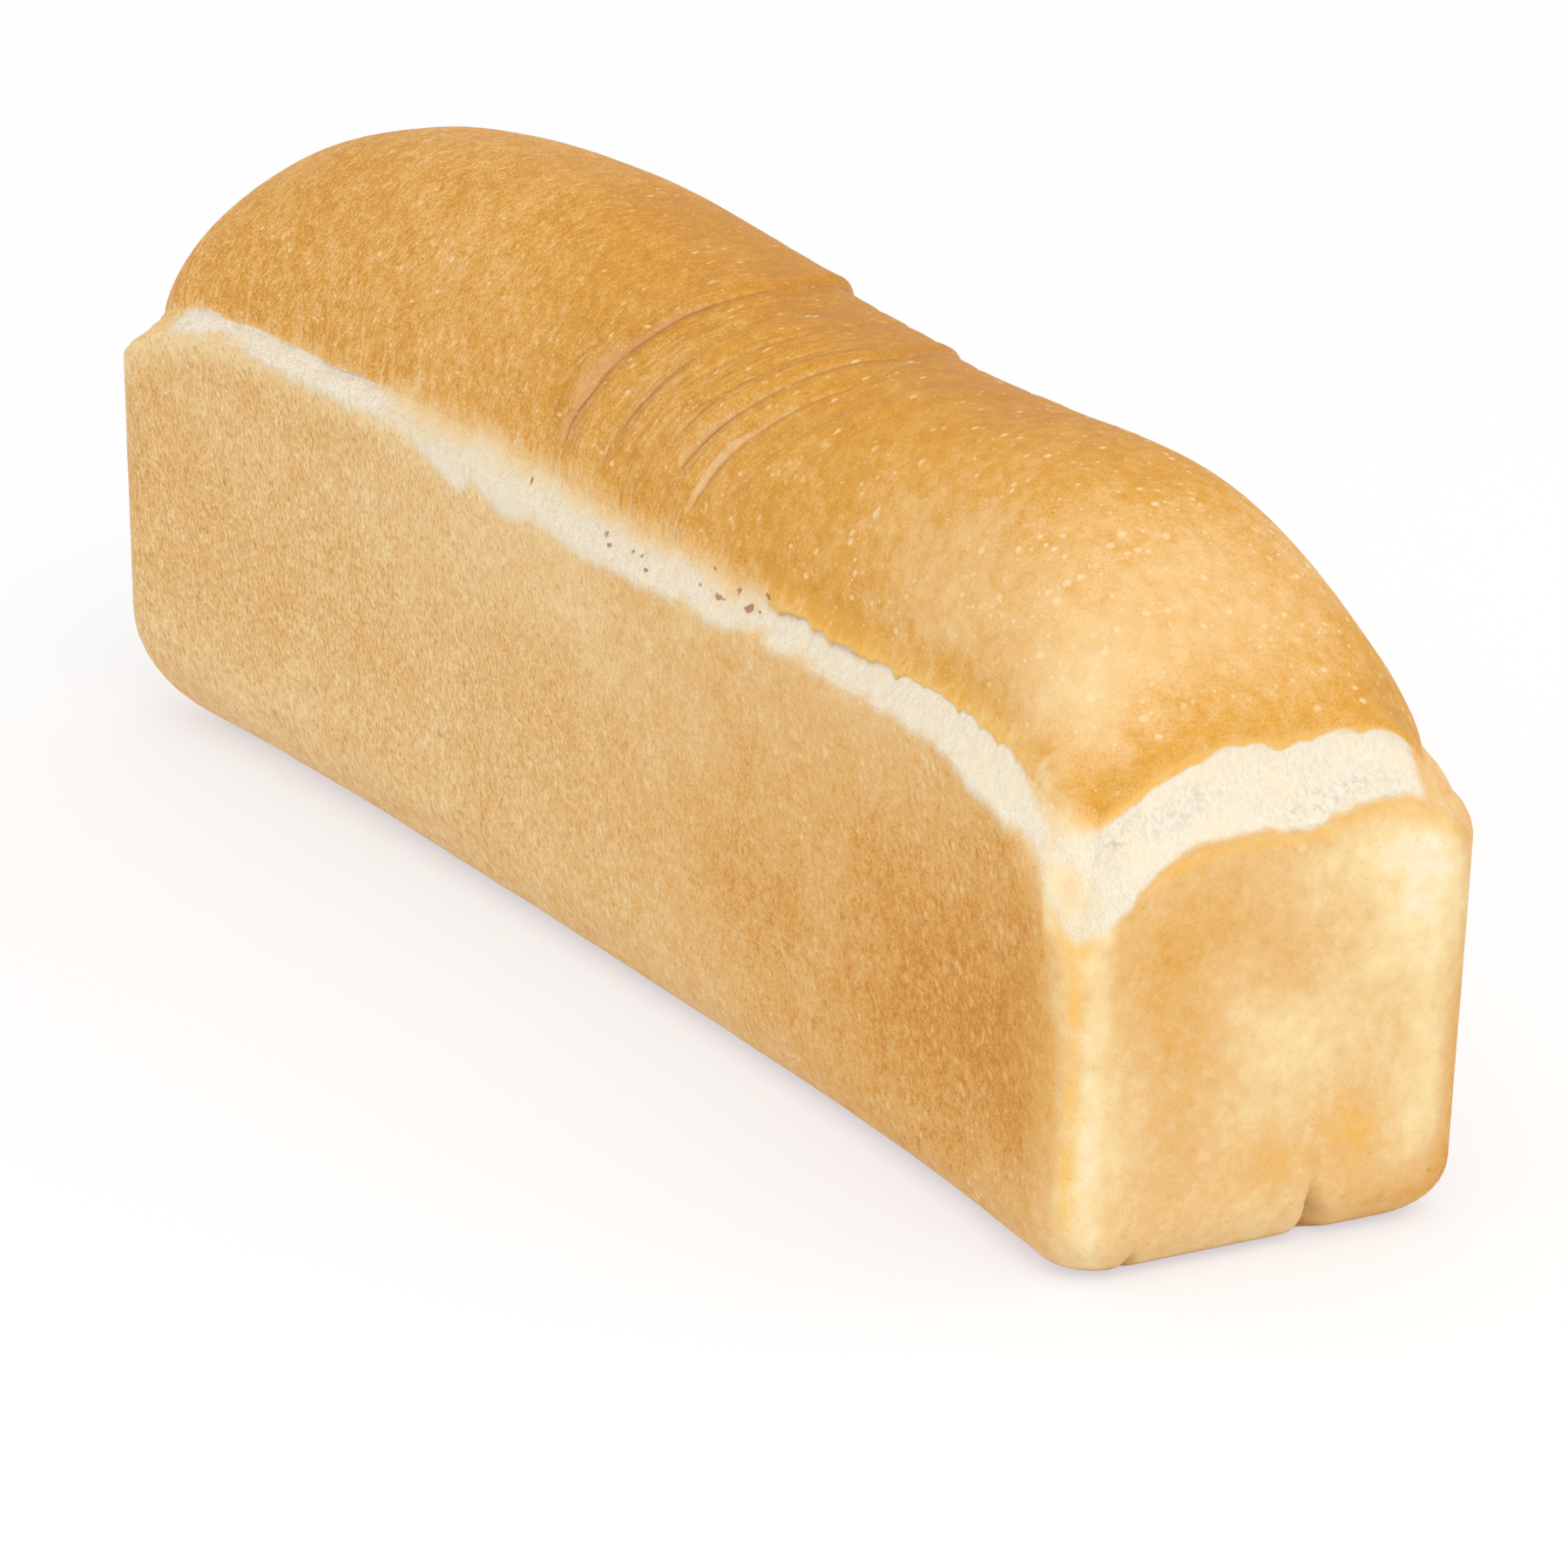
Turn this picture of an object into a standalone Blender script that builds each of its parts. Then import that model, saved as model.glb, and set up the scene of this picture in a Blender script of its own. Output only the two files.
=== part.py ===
"""Tin loaf: a long sandwich loaf baked in an open tin, as one closed solid.

Run with: blender --background --python part.py
Units are metres. +Z is up, +X runs along the loaf, and the loaf stands on z = 0.
"End A" is the end at +X and "end B" the one at -X. "Front" is the long side at -Y.
"""

import math

import bmesh
import bpy
from mathutils import Vector

# ---------------------------------------------------------------- tin-baked body
BASE_LENGTH = 0.4505              # length of the foot, measured across the bottom edges
BASE_WIDTH = 0.100                # width of the foot at the two ends
END_SPLAY = math.radians(2.0)     # lean of the end walls, the draft of the tin
SIDE_SPLAY = math.radians(0.32)   # lean of the long walls
FRONT_PINCH = 0.0104              # how far the front wall sinks in at mid length
BACK_PINCH = 0.0068               # the same for the back wall
PINCH_POWER = 3.1                 # high values keep the pinch flat along the middle
CORNER_A = 0.0140                 # plan radius of the upright corners at end A
CORNER_B = 0.0245                 # the same at end B
FOOT_A = 0.0121                   # radius of the bottom edge at end A
FOOT_B = 0.0280                   # the same at end B
FOOT_CORNER_TIGHTENING = 0.5      # the foot's plan corners tighten by this share of its inset

# ---------------------------------------------------------------- rim of the tin-baked wall
RIM_A = 0.0970                    # wall height along the half towards end A
RIM_B = 0.1055                    # wall height along the half towards end B
RIM_STEP = (-0.090, 0.050)        # the stretch of x over which the rim changes height
RIM_CORNER_FRONT_A = 0.0745       # rim height at each upright corner
RIM_CORNER_BACK_A = 0.0800
RIM_CORNER_B = 0.0880
RIM_DIP_LONG = 0.075              # length of the dip towards a corner, on a long side
RIM_DIP_END = 0.038               # the same on an end
RIM_END_A = 0.0905
RIM_END_A_LIFT = 0.0040           # end A's rim is higher on its back half
END_LIFT_STEP = (0.006, 0.022)    # the stretch of y over which it rises
RIM_END_B = 0.0970

# ---------------------------------------------------------------- torn band and crust lip
LIP_A = 0.1045                    # height of the crust's lower edge towards end A
LIP_B = 0.1105
LIP_STEP = (-0.050, 0.140)
LIP_CORNER_A = 0.0950
LIP_CORNER_B = 0.0990
LIP_DIP_LONG = 0.055
LIP_DIP_END = 0.034
LIP_END_A = 0.1095
LIP_END_B = 0.1080
BAND_INSET = 0.0062               # how far the lip stands inside the rim
BAND_HOLLOW = 0.0016              # depth of the hollow between rim and lip
LIP_CORNER_EXTRA = 0.006          # the lip's corners are rounder than the rim's

# ---------------------------------------------------------------- domed crust
CROWN_WAIST = 0.1504              # lowest point of the ridge, between the two humps
CROWN_RISE_B = 0.0144             # the hump towards end B above the waist
CROWN_RISE_A = 0.0177             # the hump towards end A above the waist
HUMP_B_SPAN = (0.436, -0.262)     # fractions of the half length where hump B rises
HUMP_A_SPAN = (0.515, 1.090)
DOME_SIDE_POWER = 2.60            # cross-section of the dome: 1 - |v| ** side power
DOME_SIDE_ROOT = 1.72
DOME_END_A = (7.20, 0.74)         # power and root of the profile along the half towards end A
DOME_END_B = (4.10, 1.256)        # the same towards end B

# ---------------------------------------------------------------- folds across the waist
FOLD_ARC = 0.031                  # a fold lies this much nearer end A on the ridge than at the lip
FOLD_ARC_POWER = 3.0
FOLD_LEAN = 0.010                 # further lean towards end A, even from lip to ridge
# Rolled ledges: x at the lip, height of the step, width of its riser, first |v| and full |v|.
LEDGES = (
    (-0.0080, 0.0024, 0.0036, 0.99, 0.90),
    (0.0378, 0.0013, 0.0040, 0.96, 0.80),
)
LEDGE_RUN = 0.016                 # length over which a ledge swells towards its edge
LEDGE_ABOVE = 0.55                # share of the step that stands above the plain dome
FOLDS_FULL = 0.93                 # |v| within which folds have their full height
RIDGE_SHARE = 0.5                 # share of that height left on the ridge itself
RIDGE_SPAN = 0.6                  # |v| from which the ridge no longer weakens them
# Soft creases: x at the lip and depth.
CREASES = (
    (-0.0363, 0.0005),
    (-0.0165, 0.0005),
    (0.0098, 0.0008),
    (0.0180, 0.0005),
    (0.0270, 0.0004),
    (0.0478, 0.0009),
    (0.0590, 0.0005),
    (0.0700, 0.0004),
)
CREASE_WIDTH = 0.0026
FOLD_CENTRE = 0.094               # height of the line from which the folds point outward

# ---------------------------------------------------------------- notch in end A's foot
NOTCH_Y = 0.012
NOTCH_WIDTH = 0.0036
NOTCH_DEPTH = 0.0045
NOTCH_HEIGHT = 0.0140
NOTCH_REACH = 0.042               # the notch fades out within this distance of end A

# ---------------------------------------------------------------- mesh counts
COLUMNS = 96                      # cells along the loaf
ROWS = 24                         # cells across the loaf
FOOT_RINGS = 3                    # cells up the rounded bottom edge
WALL_RINGS = 3                    # cells up the wall
BAND_RINGS = 3                    # cells up the torn band
RINGS = FOOT_RINGS + WALL_RINGS + BAND_RINGS
FOLD_ZONE = (-0.06, 0.11)         # x range with closer columns
FOLD_ZONE_DENSITY = 1.3
END_ZONE = (0.80, 0.90)           # fractions of the half length over which columns close up
END_ZONE_DENSITY = 1.6
ROW_GRADE = 0.5                   # share of the sine spacing that closes rows up at the sides
GRADE_SAMPLES = 2000              # steps used to work out the column spacing
TINY = 1e-6

CRUST_COLOR = (0.74, 0.42, 0.13, 1.0)
CRUST_ROUGHNESS = 0.55

HALF_LENGTH = BASE_LENGTH / 2
HALF_WIDTH = BASE_WIDTH / 2
LIP_HALF_LENGTH = HALF_LENGTH + LIP_END_A * math.tan(END_SPLAY) - BAND_INSET
LIP_HALF_WIDTH = HALF_WIDTH + LIP_END_A * math.tan(SIDE_SPLAY) - BAND_INSET


def mix(a, b, share):
    return a + (b - a) * share


def smooth(value, low, high):
    """0 before low, 1 past high, and an even S between them. low may be the larger one."""
    share = min(max((value - low) / (high - low), 0.0), 1.0)
    return share * share * (3.0 - 2.0 * share)


def towards_a(u):
    """0 at end B and 1 at end A."""
    return (u + 1.0) / 2.0


def dip(distance, span, depth):
    """A drop of the given depth at distance 0, easing out over span."""
    return depth * max(0.0, 1.0 - distance / span) ** 2


def long_edge(u, levels, step, corners, span):
    """Height of an edge that runs along a long side, with a dip at each corner."""
    level_a, level_b = levels
    corner_a, corner_b = corners
    x = u * HALF_LENGTH
    level = mix(level_b, level_a, smooth(x, step[0], step[1]))
    level -= dip(HALF_LENGTH - x, span, level_a - corner_a)
    return level - dip(HALF_LENGTH + x, span, level_b - corner_b)


def end_edge(v, levels, corners, span):
    """Height of an edge that runs across an end. Each pair is (front, back)."""
    y = v * HALF_WIDTH
    level = mix(levels[0], levels[1], smooth(y, END_LIFT_STEP[0], END_LIFT_STEP[1]))
    level -= dip(HALF_WIDTH + y, span, levels[0] - corners[0])
    return level - dip(HALF_WIDTH - y, span, levels[1] - corners[1])


def rim_long(u, v):
    corner_a = mix(RIM_CORNER_FRONT_A, RIM_CORNER_BACK_A, towards_a(v))
    return long_edge(u, (RIM_A, RIM_B), RIM_STEP, (corner_a, RIM_CORNER_B), RIM_DIP_LONG)


def rim_end(u, v):
    if u > 0:
        levels = (RIM_END_A, RIM_END_A + RIM_END_A_LIFT)
        return end_edge(v, levels, (RIM_CORNER_FRONT_A, RIM_CORNER_BACK_A), RIM_DIP_END)
    return end_edge(v, (RIM_END_B, RIM_END_B), (RIM_CORNER_B, RIM_CORNER_B), RIM_DIP_END)


def lip_long(u):
    corners = (LIP_CORNER_A, LIP_CORNER_B)
    return long_edge(u, (LIP_A, LIP_B), LIP_STEP, corners, LIP_DIP_LONG)


def lip_end(u, v):
    level = LIP_END_A if u > 0 else LIP_END_B
    corner = LIP_CORNER_A if u > 0 else LIP_CORNER_B
    return end_edge(v, (level, level), (corner, corner), LIP_DIP_END)


def end_share(u, v):
    """0 on the long sides, 1 on the ends, and a smooth change between them inside."""
    to_side = (1.0 - abs(v)) * HALF_WIDTH
    to_end = (1.0 - abs(u)) * HALF_LENGTH
    if to_side + to_end == 0.0:
        return 0.5
    return smooth(to_side / (to_side + to_end), 0.0, 1.0)


def rim_height(u, v):
    return mix(rim_long(u, v), rim_end(u, v), end_share(u, v))


def lip_height(u, v):
    return mix(lip_long(u), lip_end(u, v), end_share(u, v))


def plan_point(u, v, half_length, half_width, radius):
    """Point (u, v) of the square [-1, 1] x [-1, 1] laid on a rectangle with round corners."""
    x = u * half_length
    y = v * half_width
    corner_x = (abs(x) - (half_length - radius)) / radius
    corner_y = (abs(y) - (half_width - radius)) / radius
    if corner_x > 0 and corner_y > 0:
        round_x = corner_x * math.sqrt(1.0 - corner_y * corner_y / 2.0)
        round_y = corner_y * math.sqrt(1.0 - corner_x * corner_x / 2.0)
        x = math.copysign(half_length - radius + round_x * radius, u)
        y = math.copysign(half_width - radius + round_y * radius, v)
    return x, y


def pinched(x, y):
    """y with the long sides drawn in towards mid length."""
    bend = max(0.0, 1.0 - abs(x / HALF_LENGTH) ** PINCH_POWER)
    depth = mix(FRONT_PINCH, BACK_PINCH, smooth(y, -HALF_WIDTH, HALF_WIDTH))
    return y * (1.0 - depth * bend / HALF_WIDTH)


def corner_radius(u):
    return mix(CORNER_B, CORNER_A, towards_a(u))


def foot_radius(u):
    return mix(FOOT_B, FOOT_A, towards_a(u))


def notch_share(x, y, z):
    """1 in the middle of the notch in end A's foot, fading to 0 around it."""
    if x < HALF_LENGTH - NOTCH_REACH:
        return 0.0
    across = math.exp(-((y - NOTCH_Y) / NOTCH_WIDTH) ** 2)
    return across * max(0.0, 1.0 - z / NOTCH_HEIGHT)


def foot_point(u, v, share):
    """A point on the rounded bottom edge: share 0 on the ground, 1 where the wall starts."""
    radius = foot_radius(u)
    angle = share * math.pi / 2
    inset = radius * (1.0 - math.sin(angle))
    z = radius * (1.0 - math.cos(angle))
    half_length = HALF_LENGTH - inset + z * math.tan(END_SPLAY)
    half_width = HALF_WIDTH - inset + z * math.tan(SIDE_SPLAY)
    radius_in_plan = corner_radius(u) - inset * FOOT_CORNER_TIGHTENING
    x, y = plan_point(u, v, half_length, half_width, radius_in_plan)
    x -= NOTCH_DEPTH * notch_share(x, y, z)
    return Vector((x, pinched(x, y), z))


def wall_point(u, v, share):
    """A point on the tin-baked wall: share 0 above the bottom edge, 1 at the rim."""
    z = mix(foot_radius(u), rim_height(u, v), share)
    half_length = HALF_LENGTH + z * math.tan(END_SPLAY)
    half_width = HALF_WIDTH + z * math.tan(SIDE_SPLAY)
    x, y = plan_point(u, v, half_length, half_width, corner_radius(u))
    return Vector((x, pinched(x, y), z))


def band_point(u, v, share):
    """A point on the torn band: share 0 at the rim, 1 at the crust's lip."""
    low = wall_point(u, v, 1.0)
    radius = corner_radius(u) + LIP_CORNER_EXTRA
    x, y = plan_point(u, v, LIP_HALF_LENGTH, LIP_HALF_WIDTH, radius)
    high = Vector((x, pinched(x, y), lip_height(u, v)))
    point = low.lerp(high, share)
    inward = Vector((low.x - high.x, low.y - high.y, 0.0)).normalized()
    return point - inward * BAND_HOLLOW * math.sin(math.pi * share)


def crown_height(u):
    hump_b = CROWN_RISE_B * smooth(u, HUMP_B_SPAN[0], HUMP_B_SPAN[1])
    hump_a = CROWN_RISE_A * smooth(u, HUMP_A_SPAN[0], HUMP_A_SPAN[1])
    return CROWN_WAIST + hump_b + hump_a


def fold_relief(x, v):
    """Height of the folds above the plain dome, for a point across the dome at v."""
    arc = FOLD_ARC * (1.0 - abs(v) ** FOLD_ARC_POWER) + FOLD_LEAN * (1.0 - abs(v))
    relief = 0.0
    for lip_x, height, riser, first, full in LEDGES:
        ahead = x - (lip_x + arc)
        strength = height * smooth(abs(v), first, full)
        swell = math.exp(min(ahead + riser, 0.0) / LEDGE_RUN)
        dropped = smooth(ahead, -riser, 0.0)
        recover = math.exp(-max(ahead, 0.0) / LEDGE_RUN)
        relief += strength * mix(LEDGE_ABOVE * swell, (LEDGE_ABOVE - 1.0) * recover, dropped)
    for lip_x, depth in CREASES:
        ahead = x - (lip_x + arc)
        relief -= depth * math.exp(-(ahead / CREASE_WIDTH) ** 2)
    relief *= mix(RIDGE_SHARE, 1.0, smooth(abs(v), 0.0, RIDGE_SPAN))
    return relief * smooth(abs(v), 1.0, FOLDS_FULL)


def dome_point(u, v):
    """A point on the domed crust: the lip is at |u| = 1 or |v| = 1."""
    radius = corner_radius(u) + LIP_CORNER_EXTRA
    x, y = plan_point(u, v, LIP_HALF_LENGTH, LIP_HALF_WIDTH, radius)
    y = pinched(x, y)
    side = max(0.0, 1.0 - abs(v) ** DOME_SIDE_POWER) ** (1.0 / DOME_SIDE_ROOT)
    power, root = DOME_END_A if u > 0 else DOME_END_B
    end = max(0.0, 1.0 - abs(u) ** power) ** (1.0 / root)
    lip = lip_height(u, v)
    z = lip + (crown_height(u) - lip) * side * end
    outward = Vector((0.0, y, z - FOLD_CENTRE)).normalized()
    return Vector((x, y, z)) + outward * fold_relief(x, v) * end


def skin_point(u, v, ring):
    """A point on the side of the loaf, ring 0 being the foot's outline and RINGS the lip."""
    if ring <= FOOT_RINGS:
        return foot_point(u, v, ring / FOOT_RINGS)
    if ring <= FOOT_RINGS + WALL_RINGS:
        return wall_point(u, v, (ring - FOOT_RINGS) / WALL_RINGS)
    return band_point(u, v, (ring - FOOT_RINGS - WALL_RINGS) / BAND_RINGS)


def column_places():
    """Values of u for the columns, closer together at the folds and at the ends."""
    def density(u):
        folds = FOLD_ZONE_DENSITY if FOLD_ZONE[0] < u * HALF_LENGTH < FOLD_ZONE[1] else 0.0
        return 1.0 + folds + END_ZONE_DENSITY * smooth(abs(u), END_ZONE[0], END_ZONE[1])

    total = [0.0]
    for i in range(GRADE_SAMPLES):
        total.append(total[-1] + density((i + 0.5) / GRADE_SAMPLES * 2.0 - 1.0))
    places = []
    sample = 0
    for column in range(COLUMNS + 1):
        goal = total[-1] * column / COLUMNS
        while sample < GRADE_SAMPLES and total[sample] < goal:
            sample += 1
        places.append(sample / GRADE_SAMPLES * 2.0 - 1.0)
    places[0] = -1.0
    places[-1] = 1.0
    return places


def row_places():
    """Values of v for the rows, closer together towards the two long sides."""
    even = [row / ROWS * 2.0 - 1.0 for row in range(ROWS + 1)]
    return [mix(v, math.sin(v * math.pi / 2), ROW_GRADE) for v in even]


def clear_scene():
    for obj in list(bpy.data.objects):
        bpy.data.objects.remove(obj)


def subdivided_cube():
    """A cube from -1 to 1 whose faces are a grid of COLUMNS by ROWS by RINGS cells."""
    bm = bmesh.new()
    bmesh.ops.create_cube(bm, size=2.0)
    for axis, cells in enumerate((COLUMNS, ROWS, RINGS)):
        along = [e for e in bm.edges if abs(e.verts[0].co[axis] - e.verts[1].co[axis]) > TINY]
        bmesh.ops.subdivide_edges(bm, edges=along, cuts=cells - 1, use_grid_fill=True)
    return bm


def centre_over_origin(bm):
    """Slides the loaf level until the middle of its footprint box is over the origin."""
    xs = [vert.co.x for vert in bm.verts]
    ys = [vert.co.y for vert in bm.verts]
    middle = Vector((min(xs) + max(xs), min(ys) + max(ys), 0.0)) / 2
    bmesh.ops.translate(bm, verts=bm.verts, vec=-middle)


def shape_loaf(bm):
    """Moves each point of the subdivided cube onto the loaf, and makes the bottom one face."""
    bottom = [f for f in bm.faces if all(v.co.z < TINY - 1.0 for v in f.verts)]
    bmesh.ops.dissolve_faces(bm, faces=bottom, use_verts=True)
    columns = column_places()
    rows = row_places()
    for vert in bm.verts:
        u = columns[round((vert.co.x + 1.0) / 2.0 * COLUMNS)]
        v = rows[round((vert.co.y + 1.0) / 2.0 * ROWS)]
        ring = round((vert.co.z + 1.0) / 2.0 * RINGS)
        inside = abs(u) < 1.0 and abs(v) < 1.0
        vert.co = dome_point(u, v) if inside else skin_point(u, v, ring)


def crust_material():
    material = bpy.data.materials.new("golden_crust")
    material.use_nodes = True
    shader = material.node_tree.nodes["Principled BSDF"]
    shader.inputs["Base Color"].default_value = CRUST_COLOR
    shader.inputs["Roughness"].default_value = CRUST_ROUGHNESS
    shader.inputs["Metallic"].default_value = 0.0
    return material


def build_loaf(collection):
    bm = subdivided_cube()
    shape_loaf(bm)
    centre_over_origin(bm)
    bmesh.ops.recalc_face_normals(bm, faces=bm.faces)
    mesh = bpy.data.meshes.new("loaf")
    bm.to_mesh(mesh)
    bm.free()
    mesh.shade_smooth()
    mesh.materials.append(crust_material())
    collection.objects.link(bpy.data.objects.new("loaf", mesh))


def main():
    clear_scene()
    collection = bpy.data.collections.new("tin_loaf")
    bpy.context.scene.collection.children.link(collection)
    build_loaf(collection)


main()
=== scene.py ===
"""Looks of the tin loaf: its baked walls, torn band and domed crust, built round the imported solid.

Run as a script in Blender. Units are metres; +X runs along the loaf to end A, +Z is up, and the
front is the long side at -Y. u and v run from -1 to 1 along and across the loaf.
"""

import math

import bpy
import numpy as np
from bpy.props import FloatProperty, FloatVectorProperty, IntProperty, PointerProperty
from mathutils import Matrix, Vector


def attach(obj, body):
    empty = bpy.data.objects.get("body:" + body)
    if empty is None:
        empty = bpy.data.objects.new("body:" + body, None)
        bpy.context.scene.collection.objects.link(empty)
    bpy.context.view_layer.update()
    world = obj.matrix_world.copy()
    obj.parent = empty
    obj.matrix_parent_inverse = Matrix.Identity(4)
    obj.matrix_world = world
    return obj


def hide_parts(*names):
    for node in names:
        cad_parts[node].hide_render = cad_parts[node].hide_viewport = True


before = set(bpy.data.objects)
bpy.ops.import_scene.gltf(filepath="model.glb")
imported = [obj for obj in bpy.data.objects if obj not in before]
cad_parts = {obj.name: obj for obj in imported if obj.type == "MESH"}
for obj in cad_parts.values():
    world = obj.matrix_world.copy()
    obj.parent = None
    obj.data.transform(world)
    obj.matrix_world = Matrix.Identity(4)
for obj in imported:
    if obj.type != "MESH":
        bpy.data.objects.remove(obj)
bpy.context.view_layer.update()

bl_info = {
    "name": "Tin loaf",
    "version": (1, 0, 0),
    "blender": (4, 5, 0),
    "location": "3D View > Sidebar > Tin loaf",
    "description": "Builds a tin loaf's baked walls, torn band, domed crust and blisters",
    "category": "Add Mesh",
}

NODE = "loaf"
BODY = "root"

# ---------------------------------------------------------------- mesh counts
COLUMNS = 540                     # cells along the loaf
ROWS = 160                        # cells across the loaf
COLUMN_GRADE = 0.16               # closes columns up towards end A, where the crust's edge is ragged
ROW_POWER = 1.6                   # closes rows up at the steep sides of the dome
FOOT_RINGS = 12                   # cells up the rounded bottom edge
WALL_RINGS = 54                   # cells up the tin-baked wall
BAND_RINGS = 46                   # cells up the torn band
LIP_RINGS = 6                     # cells up the rolled edge of the crust
CAP_END = 20                      # cells from each end that a cap closes with a fan
LIP_SHARE = 0.80                  # share of the torn band's rise at which the crust's edge starts

# ---------------------------------------------------------------- shape of the solid
PINCH_POWER = 3.1                 # high values keep the walls' pinch flat along the middle
FOOT_CORNER_TIGHTENING = 0.5      # the foot's plan corners tighten by this share of its inset
RIM_STEP = (-0.090, 0.050)        # the stretch of x over which the rim changes height
RIM_DIP_LONG = 0.075              # length of the rim's dip towards a corner, on a long side
RIM_DIP_END = 0.038               # the same on an end
RIM_END_A_LIFT = 0.0040           # end A's rim is higher on its back half
END_LIFT_STEP = (0.006, 0.022)    # the stretch of y over which it rises
LIP_STEP = (-0.050, 0.140)        # the stretch of x over which the crust's edge changes height
LIP_DIP_LONG = 0.055              # length of its dip towards a corner, on a long side
LIP_DIP_END = 0.034               # the same on an end
LIP_CORNER_EXTRA = 0.006          # the crust's corners are rounder than the rim's by this much
HUMP_B_SPAN = (0.436, -0.262)     # fractions of the half length over which hump B rises
HUMP_A_SPAN = (0.515, 1.090)      # the same for hump A
DOME_SIDE_POWER = 2.60            # the dome's cross-section falls off as 1 - |v| ** side power
DOME_SIDE_ROOT = 1.72
DOME_END_A = (7.20, 0.74)         # power and root of the ridge's profile towards end A
DOME_END_B = (4.10, 1.256)        # the same towards end B
FOLD_ARC_POWER = 3.0              # high values bend a fold late, close to the crust's edge
FOLD_LEAN = 0.010                 # further lean of a fold towards end A, even from edge to ridge
FOLD_CENTRE = 0.094               # height of the line from which the folds point outward
FOLDS_FULL = 0.93                 # |v| within which folds have their full height
RIDGE_SHARE = 0.5                 # share of that height left on the ridge itself
RIDGE_SPAN = 0.6                  # |v| from which the ridge no longer weakens them
LEDGE_RUN = 0.016                 # length over which a ledge swells towards its edge
LEDGE_ABOVE = 0.55                # share of a ledge's step that stands above the plain dome
# Rolled ledges: x at the lip, height of the step, width of its riser, first |v| and full |v|.
LEDGES = (
    (-0.0080, 0.0024, 0.0032, 0.99, 0.90),
    (0.0378, 0.0013, 0.0034, 0.96, 0.80),
)
# Folds: x at the lip, first and last |v|, depth, darkness of the line, which is painted shade, then width,
# paleness, which is painted light on the ridge, and pinkness, partly the skin's colour and partly painted
# light, of the strip on end B's side of it.
FOLD_LINES = (
    (-0.0363, 0.999, 0.84, 0.0005, 0.45, 0.0038, 0.16, 0.00),
    (-0.0165, 0.999, 0.86, 0.0006, 0.65, 0.0030, 0.05, 0.00),
    (-0.0080, 0.997, 0.15, 0.0000, 1.10, 0.0052, 0.12, 1.00),
    (-0.0040, 1.000, 0.985, 0.0004, 0.60, 0.0016, 0.20, 0.10),
    (0.0045, 0.990, 0.80, 0.0004, 0.16, 0.0030, 0.06, 0.00),
    (0.0062, 0.800, 0.00, 0.0004, 0.32, 0.0040, 0.08, 0.00),
    (0.0098, 1.000, 0.72, 0.0009, 0.85, 0.0038, 0.13, 0.05),
    (0.0180, 0.760, 0.00, 0.0005, 0.36, 0.0046, 0.10, 0.00),
    (0.0225, 0.985, 0.86, 0.0004, 0.20, 0.0026, 0.08, 0.00),
    (0.0290, 0.960, 0.30, 0.0004, 0.26, 0.0030, 0.08, 0.00),
    (0.0378, 0.960, 0.05, 0.0000, 0.85, 0.0046, 0.15, 0.25),
    (0.0478, 0.992, 0.42, 0.0009, 0.60, 0.0040, 0.26, 0.15),
    (0.0590, 0.960, 0.50, 0.0004, 0.18, 0.0030, 0.08, 0.00),
    (0.0700, 0.960, 0.30, 0.0004, 0.12, 0.0040, 0.06, 0.00),
)
CREASE_WIDTH = 0.0016             # reach of a fold's dent to either side of its line
WAIST_FOLDS = (0.020, 0.075)      # middle and reach of the finely lined skin across the waist
SKIN_INSET = 0.0005               # the skin starts this far inside the solid, to leave room for relief
NOTCH_Y = 0.0100                  # the notch in the foot of end A
NOTCH_TURN = 0.0100               # height below which it swings out to the side
NOTCH_SWING = 0.0036              # how far it has swung out on the ground
NOTCH_WIDTH = 0.0019
NOTCH_DEPTH = 0.0064
NOTCH_HEIGHT = 0.0130
NOTCH_CREASE = (0.0008, 0.0012)   # depth and width of the crease that runs on above it
NICK_Y = -0.0301                  # a smaller nick in the same foot
NICK = (0.0024, 0.0012, 0.007)    # its depth, width and height


def length(name, default, description):
    return FloatProperty(name=name, description=description, default=default, unit="LENGTH", precision=4)


def colour(name, default, description):
    return FloatVectorProperty(
        name=name, description=description, default=default, subtype="COLOR", size=3, min=0, max=1
    )


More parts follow.
